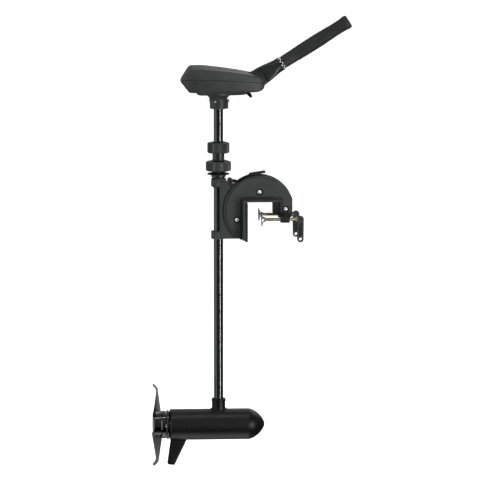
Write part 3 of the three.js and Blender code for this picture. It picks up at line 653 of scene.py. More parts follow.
def cheeks():
    for name, side in (("near", -1), ("far", 1)):
        inner, outer = side * CHEEK_IN, side * CHEEK_OUT
        solid = slab(cheek_outline(), *sorted((inner, outer)), edge=1.1)
        rim = [(distance, outer + side * rise) for distance, rise in COVE]
        cutters = [stack(eased(throat_outline(), 5, loop=True), rim),
                   cheek_groove(outer - side * 1.8, outer + side)]
        cutters += [bolt_recess(bolt, side) for bolt in BOLTS]
        for x, z in DRAIN_HOLES:
            depth = sorted((inner + side * 1.2, outer + side * 3))
            cutters.append(rod(DRAIN_R, *depth, across(x, z), 24))
        piece(f"{name}_cheek_plate", cut(solid, *cutters), f"{name}_cheek")


def cross_recess(reach, width, start, end):
    """The cutter for a cross-head screw's recess, along its own Z."""
    bars = []
    for x, y in ((reach, width), (width, reach)):
        bars.append(slab([(-x, -y), (x, -y), (x, y), (-x, y)], start, end, "plan", 0.1))
    return join(*bars)


def cheek_bolts():
    face = CHEEK_OUT - RECESS
    for name in BOLTS:
        place = across(*bolt_place(name))
        head = spin(
            eased([(0, -face - 4.2), (3.2, -face - 4.0), (5.6, -face - 2.0), (5.9, -face), (3.8, -face),
                   (3.8, face), (0, face)], 0.8), place, 40)
        recess = cross_recess(2.2, 0.45, -face - 6, -face - 3.2)
        recess.transform(place)
        washer = pipe(4.1, 7.0, face, face + 1.0, place, 48, 0.3)
        # seal: a deep black ring under the head, painted shade in the recess round it
        recess_shade = pipe(4.1, 8.9, -face - 0.5, -face, place, 48, 0.2)
        piece(f"cheek_bolt_{name}_seal", recess_shade, body="clamp_bracket", slot="black_plastic", ink="deep_black")
        rim = [(0.6, face + 1.1), (0, face + 1.6), (0, face + 4.6), (0.9, face + 5.2)]
        nut = hex_nut(5.9, 0.5, rim, place)
        piece(f"cheek_bolt_{name}_set", together(cut(head, recess), washer, nut), f"cheek_bolt_{name}")


def tilt_sector():
    """The half disc between the cheeks, with a notch every ten degrees for the lever's pawl."""
    radius, notch_depth = 78.0, 5.0
    back_angle = degrees(atan2(ROOF - TILT_Z, 71.8))
    line = []
    angle = 233.3
    for middle in range(120, 39, -10):
        line += disc_arc(radius, angle, middle + 2.6, 12 if middle == 120 else 3)
        line += disc_arc(radius - notch_depth, middle + 2.2, middle - 2.2, 2)
        angle = middle - 2.6
    line += disc_arc(radius, angle, back_angle, 4)
    line += [(LEG_X - 2 * GAP, ROOF)]
    half = high("tilt_sector").y
    holes = [rod(BOLT_HOLE_R, -30, 30, across(*bolt_place(name)), 24) for name in BOLTS]
    piece("tilt_sector_block", cut(plate(line, half, 0.7), *holes), "tilt_sector")


def saddle():
    foot = low("saddle").z + 1.5
    end = high("saddle").x
    inner = LEG_X + SADDLE_LEG
    line = [(LEG_X, foot), (inner, foot), (inner, 0), (end, 0)]
    line += eased([(end, 0), (end, SADDLE_TOP), (LEG_X, SADDLE_TOP), (LEG_X, foot)], 3.4, 6)[1:-1]
    half = high("saddle").y
    piece("saddle_plate", plate(line, half, 1.2), "saddle")


def ridged_pad():
    pitch, depth = 4.0, 1.5
    face = high("transom_pad").x
    back = LEG_X + SADDLE_LEG + GAP
    top, foot = high("transom_pad").z, low("transom_pad").z - 8.0
    line = [(back, top)]
    for i in range(int((top - foot) / pitch)):
        start = top - i * pitch
        line += [(face - depth, start - 0.2), (face, start - 1.3), (face, start - 2.7),
                 (face - depth, start - pitch + 0.2)]
    line += [(back, foot)]
    half = high("transom_pad").y
    piece("ridged_transom_pad", plate(line, half, 0.35), "transom_pad")


def clamp_yoke():
    """A grooved web between the cheeks, and the bar with the clamp screws' two threaded bosses."""
    top = low("clamp_yoke").z + 20.7
    web_half = CHEEK_IN - GAP
    web = block((36.5, high("clamp_yoke").x - 0.4), (-web_half, web_half), (top - 1, -GAP), 1.0)
    bar_line = eased([(47, top), (54, -43), (57, -53.6), (76, -53.6), (79, -43), (88, top)], 3, 4, True)
    boss_line = eased([(0, 54), (8.4, 54), (9.4, 56), (9.4, 77), (8.4, 79.5), (0, 79.5)], 1.2)
    grooves, bosses, holes = [], [], []
    for name, side in (("near", -1), ("far", 1)):
        screw = pivot(f"{name}_handle_fold")
        y = (side * web_half - 1.4, side * web_half + 1.4)
        for k in range(5):
            x = 39.2 + 3.6 * k
            grooves.append(block((x - 0.8, x + 0.8), y, (top + 1, -4), 0.3))
        place = moved(0, screw.y, screw.z) @ ALONG_X
        bosses.append(spin(boss_line, place, 40))
        holes.append(rod(5.1, 40, 95, place, 32))
    holes.append(rod(BOLT_HOLE_R, -30, 30, across(*bolt_place("rear")), 24))
    solid = join(cut(web, *grooves), plate(bar_line, 58, 2.2), *bosses)
    # The casting takes the black plastic as painted shade, for the shadow it sits in between the cheeks
    piece("clamp_yoke_casting", cut(solid, *holes), "clamp_yoke", ink="black_plastic")


def thread(radius, depth, pitch, start, end, place, segments=36, per_turn=8):
    """A screw thread with rounded crests, its ends run out."""
    count = round((end - start) / pitch * per_turn)

    def wave(reach, height, angle):
        turn = (height / pitch - angle / tau) % 1
        crest = min(1, max(0, 2.4 * (0.5 - abs(turn - 0.5)) - 0.1))
        fade = min(1, (height - start) / pitch, (end - height) / pitch)
        return reach - depth * (1 - crest * max(fade, 0))

    line = [(0, start)] + [(radius, start + (end - start) * i / count) for i in range(count + 1)]
    return spin(line + [(0, end)], place, segments, wave)


def clamp_dish(name, place):
    """The pad that presses on the transom, with the socket that the screw's end turns in."""
    line = [(0, 3.0), (3, 3.0), (13.6, 0.4), (17.6, 0.1), (18.4, 1.1), (17.8, 2.7), (9, 4.4), (7, 5.6),
            (6.6, 12.5), (3.9, 12.5), (3.9, 7.6), (0, 7.6)]
    piece(f"{name}_clamp_dish", spin(eased(line, 0.6), place, 64), f"{name}_clamp_pad", ink="steel")


def clamp_spindle(name, place, hinge, rim):
    """The screw: its tip in the dish, its thread, a collar, and the flat end that holds the handle."""
    tip = spin(eased([(0, 8), (3.4, 8), (3.4, 14), (0, 14)], 0.5), place, 32)
    collar = rod(6.1, 92.6, 97.2, place, 36, 0.7)
    tang_line = arc(4.6, -90, 90, 10, (hinge.x - rim, 0)) + [(94, 4.6), (94, -4.6)]
    tang = slab([(x + rim, z + hinge.z) for x, z in tang_line], hinge.y - 2, hinge.y + 2, edge=0.4)
    tang = cut(tang, rod(2.5, -5, 5, across(hinge.x, hinge.z, hinge.y), 24))
    screw = together(tip, thread(4.7, 0.95, 2.5, 13.4, 93, place), collar, tang)
    piece(f"{name}_clamp_spindle", screw, f"{name}_clamp_screw")


def clamps():
    for name, offset in (("near", -0.8), ("far", -3.6)):
        hinge = pivot(f"{name}_handle_fold")
        rim = low(f"{name}_clamp_pad").x
        place = moved(rim, hinge.y, hinge.z) @ ALONG_X
        clamp_dish(name, place)
        clamp_spindle(name, place, hinge, rim)
        pin = rivet([(2.2, 5.3), (3.1, 5.6), (2.9, 6.0), (0, 6.3)], 0.3, across(hinge.x, hinge.z, hinge.y))
        piece(f"{name}_handle_rivet", pin, f"{name}_handle_pin", ink="black_plastic")
        handle(name, hinge, offset)


def handle(name, hinge, offset):
    """A paddle on its pin; offset is how far its middle hangs to the side of the pin."""
    top, foot = 9.4, -62.5
    half = 9.4
    eye = foot + half - 0.8
    line = arc(half, 0, 180, 20, (offset, top - half)) + arc(half - 0.8, 180, 360, 20, (offset, eye))
    place = Matrix.Translation(hinge)
    body = plate(line, 5.5, 1.8, place)
    cutters = [
        block((-15, 12), (-2.6, 2.6), (-9, 20), 0.2, place),
        rod(2.6, -10, 10, place @ ACROSS, 24),
        rod(4.2, -10, 10, place @ moved(offset, 0, eye) @ ACROSS, 32),
    ]
    bar = eased([(-5.9, -1.7), (5.9, -1.7), (5.9, 1.7), (-5.9, 1.7)], 1.1, 3, True)
    slant = rotated(-32, "Y")
    # Deep black slabs at the foot of each rib groove: painted shade that darkens the grooves
    rib_shade_slabs = []
    for side in (-1, 1):
        groove, rib_shade_span = sorted((-side * 1.2, side * 3.2)), sorted((-side * 1.1, side * 0.5))
        for k in range(5):
            spot = place @ moved(offset, side * 4.1, -14 - 7.0 * k) @ slant
            cutters.append(slab(bar, *groove, edge=0.3, place=spot))
            rib_shade_slabs.append(slab(inset(bar, 0.1), *rib_shade_span, edge=0.2, place=spot))
    piece(f"{name}_handle_rib_shade_slabs", together(*rib_shade_slabs), body=BODY_OF[f"{name}_clamp_handle"],
          slot="black_plastic", ink="deep_black")
    piece(f"{name}_paddle_handle", cut(body, *cutters), f"{name}_clamp_handle", ink="ring_plastic")


# ---- Swivel bracket ----
CARRIER_R = DISC_R + 0.6
CARRIER_Y = high("swivel_bracket").y
LEVER_PIN = pivot("lever_lift")
BUSH_R = 15.5
SHELF_Z = 42.0
LUG_FOOT = -104.2


def bracket_walls():
    """The block behind the tube, its hollow face on the half disc, with a rail round each side."""
    foot = low("lower_bush").z + 4.7
    front = SHAFT_X + 2.5
    drop = TILT_Z - foot
    foot_angle = 180 + degrees(atan2(drop, sqrt(CARRIER_R ** 2 - drop ** 2)))
    line = disc_arc(CARRIER_R, foot_angle, 133, 40)
    line += [(-66.8, 45.7), (-72, SHELF_Z), (-88, SHELF_Z), (-96, 54), (front, 54), (front, foot)]
    walls = plate(line, CARRIER_Y, 1.5)
    tongue = disc_arc(78.8, 128.5, 231.5, 36) + disc_arc(CARRIER_R + 0.5, 231.5, 128.5, 36)
    rail = disc_arc(CARRIER_R, 226, 136, 48) + disc_arc(CARRIER_R + 2.8, 136, 226, 48)
    return [walls, plate(tongue, CHEEK_IN - 0.4), plate(rail, CARRIER_Y + 3.4, 0.6)]


def bracket_lugs():
    """The two ribbed rings that hold the bushes."""
    def ribbed(radius, height, angle):
        return radius - 0.9 * (0.5 + 0.5 * cos(24 * angle)) ** 2 if radius > 16 else radius

    upper = [(0, 34), (14, 34.6), (20, 39), (20, 58.5), (0, 58.5)]
    lower = [(0, -104.4), (20, -104.4), (20, -83.6), (0, -83.6)]
    return [spin(eased(line, 1.2), UPRIGHT, 144, ribbed) for line in (upper, lower)]


def bracket_shelf():
    """What carries the tilt lever: a shelf, two ears for its pin, and a block that stops it."""
    shelf = block((-97, LEVER_PIN.x - 7.5), (-CARRIER_Y, CARRIER_Y), (SHELF_Z - 4, 50), 1.5)
    stop = block((-97, -89), (-7, 7), (40, 60), 2.2)
    line = [(LEVER_PIN.x - 8, SHELF_Z - 2), (LEVER_PIN.x + 6, SHELF_Z - 2)]
    line += arc(7, 0, 180, 16, (LEVER_PIN.x - 1, LEVER_PIN.z + 2))
    return [shelf, stop] + [slab(line, y, y + 4, edge=0.7) for y in (-10, 6)]


def swivel_bracket():
    line = disc_arc(CARRIER_R + 2.8, 224, 137, 48) + disc_arc(CARRIER_R + 6.2, 137, 223, 48)
    cutters = [slab(line, y - 5, y + 5, edge=0.2) for y in (-CARRIER_Y - 2, CARRIER_Y + 2)]
    cutters += [
        rod(BORE_R, -120, 70, UPRIGHT, 64),
        rod(BUSH_R + 0.3, 37.5, 59, UPRIGHT, 64),
        rod(BUSH_R + 0.3, -110, -88, UPRIGHT, 64),
        rod(2.7, -15, 15, across(LEVER_PIN.x, LEVER_PIN.z), 24),
    ]
    solid = join(*bracket_walls(), *bracket_lugs(), *bracket_shelf())
    piece("swivel_bracket_casting", cut(solid, *cutters), "swivel_bracket")


def threaded_spigot():
    """The sleeve above the upper lug, which the steering tension knob turns on."""
    flange = spin(eased([(0, 56), (19, 56), (19, 59.5), (16.4, 61), (0, 61)], 0.6), UPRIGHT, 72)
    sleeve = join(flange, thread(15, 0.9, 3.0, 60, 98, UPRIGHT, 72))
    bore = rod(BORE_R, 50, 100, UPRIGHT, 64)
    piece("threaded_spigot", cut(sleeve, bore), body="carrier", slot="bracket_plastic")


def bushes_and_washer():
    for name in ("upper_bush", "lower_bush"):
        start, end = max(low(name).z, LUG_FOOT), high(name).z
        piece(f"{name}_ring", pipe(BORE_R, BUSH_R, start, end, UPRIGHT, 72), name)
    start, end = low("thrust_washer").z, high("thrust_washer").z
    radius = high("thrust_washer").y
    line = [(15.4, start), (19, start), (19.6, end - 1.6), (radius - 1.4, end - 0.8), (radius, end),
            (radius - 1.2, end + 1.8), (22, end + 2.4), (20, end + 4), (15.4, end + 4)]
    disc = ring(line, 0.6, UPRIGHT, 96)
    piece("thrust_washer_disc", disc, "thrust_washer", ink="black_plastic")


def tilt_lever():
    x, z = LEVER_PIN.x, LEVER_PIN.z
    line = [(x - 5.5, z - 2.5), (x, z - 6), (-70, 48.4)]
    line += disc_arc(DISC_R + 1.5, 130.5, 104, 24)
    line += [(-22, 70.6), (-10, 71.6), (-10, 75.2), (-26, 73.6)]
    line += disc_arc(DISC_R + 5.5, 107, 126, 20) + [(x + 3, z + 6), (x - 3.5, z + 4.5)]
    strap = plate(line, 5.5, 1.0)
    tilted = moved(-4, 0, 74.8) @ rotated(-8, "Y")
    tab_line = eased([(-20, -11), (21, -11), (21, 11), (-20, 11)], 4, 5, True)
    tab = slab(tab_line, -3.4, 1.7, "plan", 1.2, tilted)
    ribs = [block((t, t + 1.6), (-8, 8), (1, 2.4), 0.4, tilted) for t in range(-10, 17, 5)]
    pawl_line = disc_arc(78.5, 118.2, 121.8, 2) + disc_arc(DISC_R + 2.5, 121.8, 118.2, 2)
    pawl = plate(pawl_line, 5, 0.5)
    eye = rod(2.7, -15, 15, across(x, z), 24)
    piece("tilt_lever_strap", cut(join(strap, tab, pawl, *ribs), eye), "tilt_lever")
    pin = rivet([(2.4, 10.3), (4.2, 10.6), (4, 11.6), (0, 12)], 0.4, across(x, z))
    piece("lever_rivet", pin, "lever_pin", ink="black_plastic")


def knob(name, node, bore, twist, ends):
    """A three-lobed hand knob: each lobe is ribbed, and the hollows between them are smooth. It
    stops short of the CAD knob's ends by the two lengths in ends."""
    start, end = low(node).z + ends[0], high(node).z - ends[1]
    radius = high(node).y

    def lobed(reach, height, angle):
        if reach < bore + 3:
            return reach
        turn = ((degrees(angle) - twist + 90) / 120) % 1
        off = abs(turn - 0.5) * 120
        lobe = min(1, max(0, (42 - off) / 9))
        lobe = lobe * lobe * (3 - 2 * lobe)
        rib = 0.5 + 0.5 * cos(tau * off / 6)
        share = min(1, (reach - bore) / (radius - bore - 1))
        return reach - share * (2.6 * (1 - lobe) + 1.3 * lobe * (1 - rib))

    line = [(bore, start), (radius - 1.8, start), (radius, start + 2), (radius, end - 2.6),
            (radius - 2.6, end), (radius - 9, end), (radius - 10, end - 1.2), (bore, end - 1.2)]
    piece(name, ring(line, 1.2, UPRIGHT, 360, lobed), node)


def depth_parts():
    start, end = low("depth_collet").z + 4, high("depth_collet").z
    body = ring([(BORE_R, start), (17.5, start), (17.5, start + 2.4), (16, start + 4), (16, end - 6),
                 (14.4, end), (BORE_R, end)], 0.7, UPRIGHT)
    slots = []
    for k in range(6):
        turn = UPRIGHT @ Matrix.Rotation(tau * k / 6 + 0.3, 4, "Z")
        slots.append(block((-0.8, 0.8), (8, 22), (start + 24, end + 5), 0.2, turn))
    piece("depth_collet_fingers", cut(body, *slots), "depth_collet")
    knob("depth_lock_handwheel", "depth_lock_knob", 16.4, -8, (5.4, -0.2))
    knob("steering_tension_handwheel", "steering_tension_knob", 15.4, 0, (5.8, -3.4))


def shaft_tube():
    z = (low("shaft_tube").z, high("shaft_tube").z)
    piece("shaft_tube_skin", pipe(TUBE_R - 2.4, TUBE_R, z[0], z[1], UPRIGHT, 96), "shaft_tube")


# ---- Control head, drawn from the bottom of its neck ----
NECK_R = 22.6
NUT_FACE = 26.2  # where the neck bolt's nut sits, on its pad
NECK_BOLT = HEAD @ moved(0, 0, 21) @ ALONG_X
SET_SCREW = HEAD @ rotated(-25, "Z") @ moved(0, 0, 20.4) @ rotated(90, "X")
PANEL_HALF = 34.0
REAR_FACE = moved(SHAFT_X - 85.2, 0, HEAD_Z + 55) @ rotated(229.7, "Y")

REAR_X, FRONT_X = -101.4, 124.3
head_top = through([(REAR_X, 76.4), (-96, 84.5), (-84.5, 103), (-79.5, 111), (-72, 115), (-50, 115),
                    (-9.6, 111.2), (40, 104.4), (80, 97.4), (104, 91), (117, 83.5), (122.6, 76),
                    (FRONT_X, 71.5)])
head_floor = through([(REAR_X, 72.8), (-93.3, 65.0), (-84, 53.4), (-79.5, 47.8), (-72, 46.4), (60, 46.2),
                      (100, 46.8), (113.5, 49.8), (121.6, 57), (FRONT_X, 67)])
head_half = through([(REAR_X, 24), (-99, 35), (-94, 44.5), (-84, 51), (-66, 56.6), (-40, 58.6), (0, 57.4),
                     (40, 53.6), (80, 46.8), (102, 41), (114, 36), (121, 30.5), (FRONT_X, 25)])


def parting(x):
    """The height of the seam between the head's cover and base; it rises where the head is wide."""
    return 67.4 - 7.0 * (x - REAR_X) / (FRONT_X - REAR_X) + 0.3 * head_half(x)


def head_ring(x, side, shrink):
    """Half of the head's section at x, above the parting for side 1 and below it for -1."""
    split = parting(x) + side * 0.35
    edge = head_top(x) if side > 0 else head_floor(x)
    height = max(abs(edge - split) - shrink, 0.5)
    half = head_half(x) - shrink - (0.0 if side > 0 else 0.5)
    lean = (0.06 if side > 0 else 0.22) * height
    corner = min(3.6 if side > 0 else 10.0, height * 0.48)
    crown = min(3.0, height * 0.1) if side > 0 else 0.0
    lip = min(0.8, height * 0.2)
    line = [(half - lip, 0), (half, lip), (half - lean * 0.5, height * 0.5)]
    line += [(half - lean, height - crown), (half * 0.55, height - crown * 0.35), (half * 0.2, height)]
    line = [(y, split + side * rise) for y, rise in eased(line, corner, 6)]
    mirrored = [(-y, z) for y, z in reversed(line)]
    return [(x, y, z) for y, z in line + mirrored]


def head_half_solid(side, shrink=0.0, start=REAR_X, end=FRONT_X, stations=64):
    """The cover's outer form for side 1 and the base's for -1; the stations crowd at the ends."""
    rings = []
    for i in range(stations + 1):
        x = start + (end - start) * (1 - cos(pi * i / stations)) / 2
        rings.append(head_ring(x, side, shrink))
    return loft(rings, HEAD)


def tiller_slot():
    """The cutters for the room that the tiller's knuckle and arm swing in."""
    half = 16.5
    place = Matrix.Translation(pivot("tiller_tilt"))
    return [
        rod(28, -half, half, place @ ACROSS, 96, 0.2),
        block((0, 60), (-half, half), (-28, 60), 0.2, place),
        block((-20, 60), (-half, half), (0, 60), 0.2, place),
    ]


def head_cover():
    room = head_half_solid(1, 3.2, REAR_X + 5, 62, 24)
    cover = cut(head_half_solid(1), room, *tiller_slot())
    piece("head_cover_shell", cover, "head_cover", crease=28)


def neck_solid():
    """The head's neck, which flares into the head's underside."""
    flare = [(0.5, 24), (2.0, 28), (4.6, 31.6), (8.2, 34.8), (12.4, 37.2), (17, 38.6), (17, 46)]
    line = [(0, 0), (NECK_R - 0.6, 0), (NECK_R, 0.6), (NECK_R, 20)]
    line += [(NECK_R + reach, height) for reach, height in flare] + [(0, 46)]
    return spin(line, HEAD, 96)


def neck_ribs():
    """The ribs up the neck, and the flat pad for the neck bolt's nut."""
    ribs = []
    for angle, width in ((-64, 5.2), (-8, 3.2), (12, 6.6), (116, 6), (180, 6), (244, 6)):
        turn = HEAD @ rotated(angle, "Z")
        ribs.append(block((-width / 2, width / 2), (-NECK_R - 1.6, -16), (0.4, 32), 1.0, turn))
    ribs.append(block((16, NUT_FACE), (-11, 11), (0.4, 24), 1.4, HEAD))
    return ribs


def head_base():
    boss_line = eased([(-62, -30), (-50, -40), (50, -38), (78, -24), (78, 24), (50, 38), (-50, 40),
                       (-62, 30)], 9, 6, True)
    boss = stack(boss_line, [(9, 38.4), (4.5, 40), (1.5, 44), (-1.5, 48), (-1.5, 52)], "plan", HEAD)
    solid = join(head_half_solid(-1), boss, neck_solid(), *neck_ribs())
    cutters = [
        rod(TUBE_R + GAP, -5, 44, HEAD, 64),
        rod(2.8, -40, 40, NECK_BOLT),
        rod(3.4, 12, 30, SET_SCREW, 32),
        block((-11.6, 11.6), (-PANEL_HALF - 0.4, PANEL_HALF + 0.4), (-2.4, 6), 0.6, REAR_FACE),
        block((69, 91), (-7.8, 7.8), (30, 47.5), 0.5, HEAD),
    ]
    piece("head_base_shell", cut(solid, *cutters, *tiller_slot()), "head_base", crease=28)


def neck_set_screw():
    socket = stack(hexagon(1), [(0, 20), (0, 24)], "plan", SET_SCREW)
    screw = cut(rod(2.5, 12.8, 22.0, SET_SCREW, 32, 0.5), socket)
    piece("neck_set_screw", screw, body="motor_column", slot="stainless")


def rear_panel():
    """The vented panel that closes the head's rear, and the cable gland through it."""
    panel = block((-11.2, 11.2), (-PANEL_HALF, PANEL_HALF), (-2.0, 1.0), 0.8, REAR_FACE)
    cutters = [rod(7.3, -14, 4, REAR_FACE, 48)]
    for t in (-7, -3.5, 0, 3.5, 7):
        for y in (-29, 16):
            cutters.append(block((t - 0.7, t + 0.7), (y, y + 13), (-0.6, 2), 0.2, REAR_FACE))
    piece("rear_vent_panel", cut(panel, *cutters), "rear_panel", crease=20)
    gland = ring([(3, -12), (7, -12), (7, 0.6), (6.0, 1.0), (5.4, 1.4), (5.0, 1.4), (4.8, 2.0), (3, 2.0)],
                 0.5, REAR_FACE, 48)
    piece("cable_gland_boot", gland, "cable_gland")


def neck_bolt():
    shank = rod(2.4, -22, NUT_FACE + 4.6, NECK_BOLT, 32)
    head = rod(4.2, -24.8, -22.3, NECK_BOLT, 32, 0.8)
    nut = hex_nut(4.6, 0.4, [(0, NUT_FACE), (0, NUT_FACE + 2.6), (0.6, NUT_FACE + 3.2)], NECK_BOLT)
    piece("neck_bolt_set", together(shank, head, nut), "neck_bolt")


def release_trigger():
    line = [(70.5, 44.5), (70.5, 41), (77, 37.6), (85.6, 28.6), (91.8, 31.8), (89, 38), (84, 44.5)]
    trigger = plate(eased(line, 1.2, 3, True), 7, 0.8, HEAD)
    piece("tiller_release_trigger", trigger, "tiller_release", ink="deep_black")


# ---- Tiller, drawn along its own Z from the pivot ----
KNUCKLE_R = 24.4


def arm_solid():
    """The arm from the knuckle, a rounded box that turns into a round sleeve."""
    tall = through([(4, 24.4), (20, 24.0), (30, 23.0), (50, 20.6), (66, 18.9), (84, 18.7)])
    wide = through([(4, 15.8), (27, 15.9), (29, 18.3), (56, 18.7), (84, 18.7)])
    power = through([(4, 9.0), (30, 8.0), (44, 5.4), (60, 3.0), (72, 2.0), (84, 2.0)])

    def section(radius, height, angle):
        if radius < 15:
            return radius
        p = power(height)
        a, b = tall(height), wide(height)
        full = (abs(cos(angle) / a) ** p + abs(sin(angle) / b) ** p) ** (-1 / p)
        return full * radius / 20

    heights = [4, 9, 14, 20, 25, 27, 27.7, 28.3, 29, 33, 38, 43, 48, 52, 56, 60, 64, 68, 72, 78]
    line = [(0, 4)] + [(20, h) for h in heights] + [(20, 83.2), (19.3, 84), (0, 84)]
    return spin(line, TILLER, 96, section)


def knuckle_solid():
    """The grooved barrel that turns on the tiller's pin."""
    rim = [(0, -16), (22.8, -16), (KNUCKLE_R, -14.8)]
    for k in range(5):
        middle = -11.2 + 5.6 * k
        rim += [(KNUCKLE_R, middle - 1.4), (KNUCKLE_R - 1.6, middle - 0.9),
                (KNUCKLE_R - 1.6, middle + 0.9), (KNUCKLE_R, middle + 1.4)]
    rim += [(KNUCKLE_R, 14.8), (22.8, 16), (0, 16)]
    return spin(eased(rim, 0.5), TILLER @ ACROSS, 96)


def tiller_arm():
    seat = rod(12.2, 36, 90, TILLER, 64)
    hole = rod(4.3, -20, 20, TILLER @ ACROSS, 32)
    arm = cut(join(knuckle_solid(), arm_solid()), seat, hole)
    piece("tiller_base_arm", arm, "tiller_base", crease=24)
    piece("tiller_inner_tube", pipe(9.6, 11.6, 37, 275, TILLER, 64), "tiller_tube")
    pin = rivet([(4, 26), (5.8, 26.4), (5.4, 27.2), (0, 27.6)], 0.4, TILLER @ ACROSS, 40)
    piece("tiller_pivot_pin", pin, "tiller_pin")


def tick_marks(name, body, radius, heights, offset):
    """A row of painted marks round the tiller; offset turns it by that share of a mark's pitch."""
    rows = []
    for k in range(11):
        turn = TILLER @ Matrix.Rotation(tau * (k + offset) / 11, 4, "Z")
        rows.append(block((radius, radius + 0.75), (-1.7, 1.7), heights, 0.15, turn))
    piece(name, together(*rows), body=body, slot="ring_plastic", ink="tick_ink")


def speed_ring():
    at = 84.3
    line = [(12.1, at + 0.3), (16.9, at + 0.3), (17.9, at + 1.0), (17.9, at + 3.0), (17.2, at + 3.4),
            (13.6, at + 3.6), (13.6, 270), (12.1, 270)]
    piece("speed_ring_sleeve", ring(line, 0.3, TILLER, 96), "speed_ring")
    tick_marks("base_tick_marks", "tiller_arm", 18.2, (at - 3.4, at - 0.4), 0.5)
    tick_marks("speed_ring_ticks", "tiller_slider", 17.4, (at + 0.7, at + 3.2), 0)


def grip():
    """A rubber sleeve with rows of staggered pads between two smooth ends."""
    start, end = 88.1, 297.0
    girth = through([(start, 16.9), (100, 17.3), (127, 17.5), (129, 18.2), (160, 19.0), (195, 19.2),
                     (230, 18.2), (258, 17.5), (276, 18.0), (290, 18.9), (end, 18.6)])
    pads_start, pads_end, pitch, depth = 132, 284, 5.2, 1.7
    step = 0.68

    def ribbed(radius, height, angle):
        if radius < 15:
            return radius
        share = 1 if pads_start < height < pads_end else 0
        lane = (degrees(angle) / 30) % 1
        pad = min(1, max(0, (0.5 - abs(lane - 0.5)) * 9 - 0.5))
        stagger = 0.5 if int(degrees(angle) / 30) % 2 else 0
        phase = ((height - pads_start) / pitch + stagger) % 1
        rib = min(1, max(0, (0.5 - abs(phase - 0.5)) * 5 - 0.5))
        return girth(height) + radius - 20 - share * depth * (1 - pad * rib)

    heights = [start + 1 + k * step for k in range(int((end - start - 8) / step))]
    line = [(14.2, start), (19.2, start), (20, start + 0.8)] + [(20, h) for h in heights]
    line += [(19.6, 293.5), (18.4, 296), (15.6, end), (9, end + 0.2), (0, end + 0.2), (0, 288), (14.2, 288),
             (14.2, start)]
    piece("tiller_grip_sleeve", spin(line, TILLER, 144, ribbed), "tiller_grip", crease=50)


# ---- Lower unit, drawn along its own Z from under the shaft; its own -X is up ----
SEAM = 80.5  # from the pod's middle to the joints at both ends of its centre
SHELL_R = MOTOR_R - 3.6


def centre_housing():
    tube = pipe(SHELL_R, MOTOR_R, -SEAM, SEAM, LOWER_UNIT, 144, 0.8)
    piece("centre_housing_shell", tube, "centre_housing")


def nose_cone():
    fullness, length, steps = 1.6, 44.5, 24
    line = [(0, SEAM), (MOTOR_R - 0.4, SEAM), (MOTOR_R, SEAM + 0.4)]
    for k in range(1, steps):
        t = sin(k / steps * pi / 2)
        line.append((MOTOR_R * (1 - t ** fullness) ** (1 / fullness), SEAM + length * t))
    line.append((0, SEAM + length))
    piece("nose_cone_shell", spin(line, LOWER_UNIT, 144), "nose_cone", ink="deep_black")


def brush_end():
    """The cup behind the centre, with the skeg under it."""
    end = -133.3
    cup = ring([(5.2, end), (33, end), (34.5, end + 0.8), (MOTOR_R - 1.6, end + 0.8), (MOTOR_R, end + 2.6),
                (MOTOR_R, -SEAM), (SHELL_R, -SEAM), (SHELL_R, end + 8), (5.2, end + 8)],
               0.7, LOWER_UNIT, 144)
    skeg_line = eased([(-130.3, -38), (-86.4, -38), (-87.4, -44), (-120, -112.4), (-137, -111),
                       (-140, -105.5)], 2.6, 4, True)
    rim = [(5.5, -3.0), (2.2, -2.4), (0.5, -1.0), (0, 0), (0.5, 1.0), (2.2, 2.4), (5.5, 3.0)]
    skeg = stack(skeg_line, rim, "side", UNDER_SHAFT)
    skeg = cut(skeg, rod(MOTOR_R - 1, -150, -60, LOWER_UNIT, 96))
    piece("brush_end_shell", join(cup, skeg), "brush_end_housing")
    recess_shade = ring([(9.3, -141.8), (37.2, -141.8), (39.4, -140.4), (39.4, -136.6), (37.2, -135.6),
                 (36.4, -133.6), (9.3, -133.6)], 0.6, LOWER_UNIT, 120)
    piece("rear_seal_ring", recess_shade, "rear_seal_cap")


def seated_ring(radius, lift):
    """A circle seen from above, laid on the pod and lifted off it."""
    made = []
    for x, y in flat_circle(radius):
        made.append((x, y, sqrt((MOTOR_R + 0.25) ** 2 - y ** 2) + lift))
    return made


def flat_circle(radius, count=96):
    return [(radius * cos(tau * k / count), radius * sin(tau * k / count)) for k in range(count)]


def motor_socket():
    """The boss that the shaft tube enters, with a foot that follows the pod."""
    top = 71.5
    rings = [seated_ring(13.1, 0), seated_ring(23.4, 0)]
    rings += [seated_ring(*at) for at in ((22.8, 0.9), (20.4, 1.6), (18.8, 3.0), (18.1, 5.0))]
    for radius, height in ((18.1, 50), (18.1, 63.2), (18.9, 64), (19.2, 65), (19.2, top - 1.2),
                           (17.8, top), (14, top), (13.1, top - 0.8)):
        rings.append([(x, y, height) for x, y in flat_circle(radius)])
    boss = loft(rings, UNDER_SHAFT, ends=False)
    piece("motor_socket_boss", boss, "motor_socket", ink="deep_black")


# ---- Propeller ----
BLADE_X = -168.0
HUB_REAR, HUB_FRONT = -178.9, -142.4


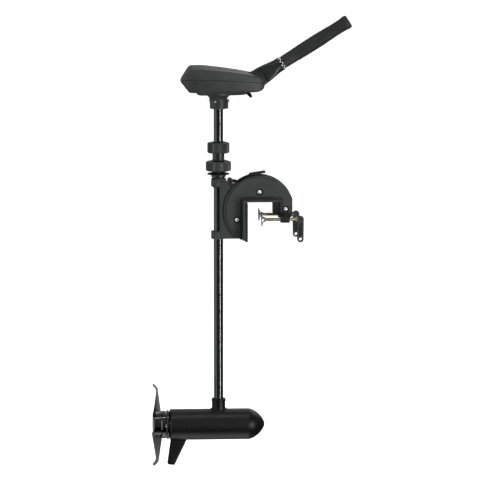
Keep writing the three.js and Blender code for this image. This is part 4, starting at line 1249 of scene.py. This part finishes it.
def blade_ring(reach, root, tip):
    """The blade's section at that distance from the axis: cambered, twisted, and curled at the tip."""
    share = (reach - root) / (tip - root)
    chord = 76 - 40 * share ** 1.2
    thick = 5.2 * (1 - share) ** 1.2 + 1.3
    pitch = radians(16 * (1 - share) ** 0.7 + 3.4)
    curl = 11 * max(0.0, share - 0.8) ** 2 / 0.04
    sweep = 7 * share ** 2
    count = 28
    made = []
    for k in range(count):
        angle = tau * k / count
        u = cos(angle) * chord / 2 + sweep
        v = sin(angle) * thick / 2 * (1 - 0.25 * cos(angle))
        v += 2.2 * (1 - (2 * (u - sweep) / chord) ** 2) * (1 - share)
        height = BLADE_X + u * sin(pitch) + v * cos(pitch) - curl
        made.append((-reach, u * cos(pitch) - v * sin(pitch), height))
    return made


def propeller_blades():
    root, tip, steps = 28, 109.5, 26
    reaches = [root + (tip - root) * sin(k / steps * pi / 2) for k in range(steps + 1)]
    blades = []
    for turn in (0, 180):
        rings = [blade_ring(reach, root, tip) for reach in reaches]
        blades.append(loft(rings, LOWER_UNIT @ rotated(turn, "Z")))
    return blades


def propeller():
    rear, front = HUB_REAR, HUB_FRONT
    radius, lip = 35.5, 37.4
    line = eased([(0, rear + 14), (12, rear + 14), (12, rear + 1.4), (20, rear - 0.4), (radius - 2.4, rear),
                  (radius, rear + 2.4), (radius + 0.1, -157), (lip, -154.6), (lip, -144.6),
                  (radius, front), (12, front), (0, front)], 1.0, 4)
    bore = rod(5.1, rear - 5, front + 5, LOWER_UNIT, 32)
    slot = block((-13, 13), (-2.6, 2.6), (-152.6, front + 1), 0.3, LOWER_UNIT)
    solid = join(spin(line, LOWER_UNIT, 144), *propeller_blades())
    piece("propeller_casting", cut(solid, bore, slot), "propeller", crease=40)
    nut_rim = [(0.9, rear + 1), (0, rear + 1.8), (0, rear + 11.8), (0.8, rear + 12.6)]
    nut = cut(hex_nut(9, 0.7, nut_rim, LOWER_UNIT), rod(5.05, rear - 3, rear + 16, LOWER_UNIT, 32))
    piece("propeller_lock_nut", nut, "propeller_nut")


# ---- Everything ----
studio()
cheeks()
cheek_bolts()
tilt_sector()
saddle()
ridged_pad()
clamp_yoke()
clamps()
swivel_bracket()
threaded_spigot()
bushes_and_washer()
tilt_lever()
depth_parts()
shaft_tube()
head_cover()
head_base()
neck_set_screw()
rear_panel()
neck_bolt()
release_trigger()
tiller_arm()
speed_ring()
grip()
centre_housing()
nose_cone()
brush_end()
motor_socket()
propeller()
for name, node in frame["nodes"].items():
    node.data.materials.clear()
    node.data.materials.append(LOOKS[SLOT_OF[name]])
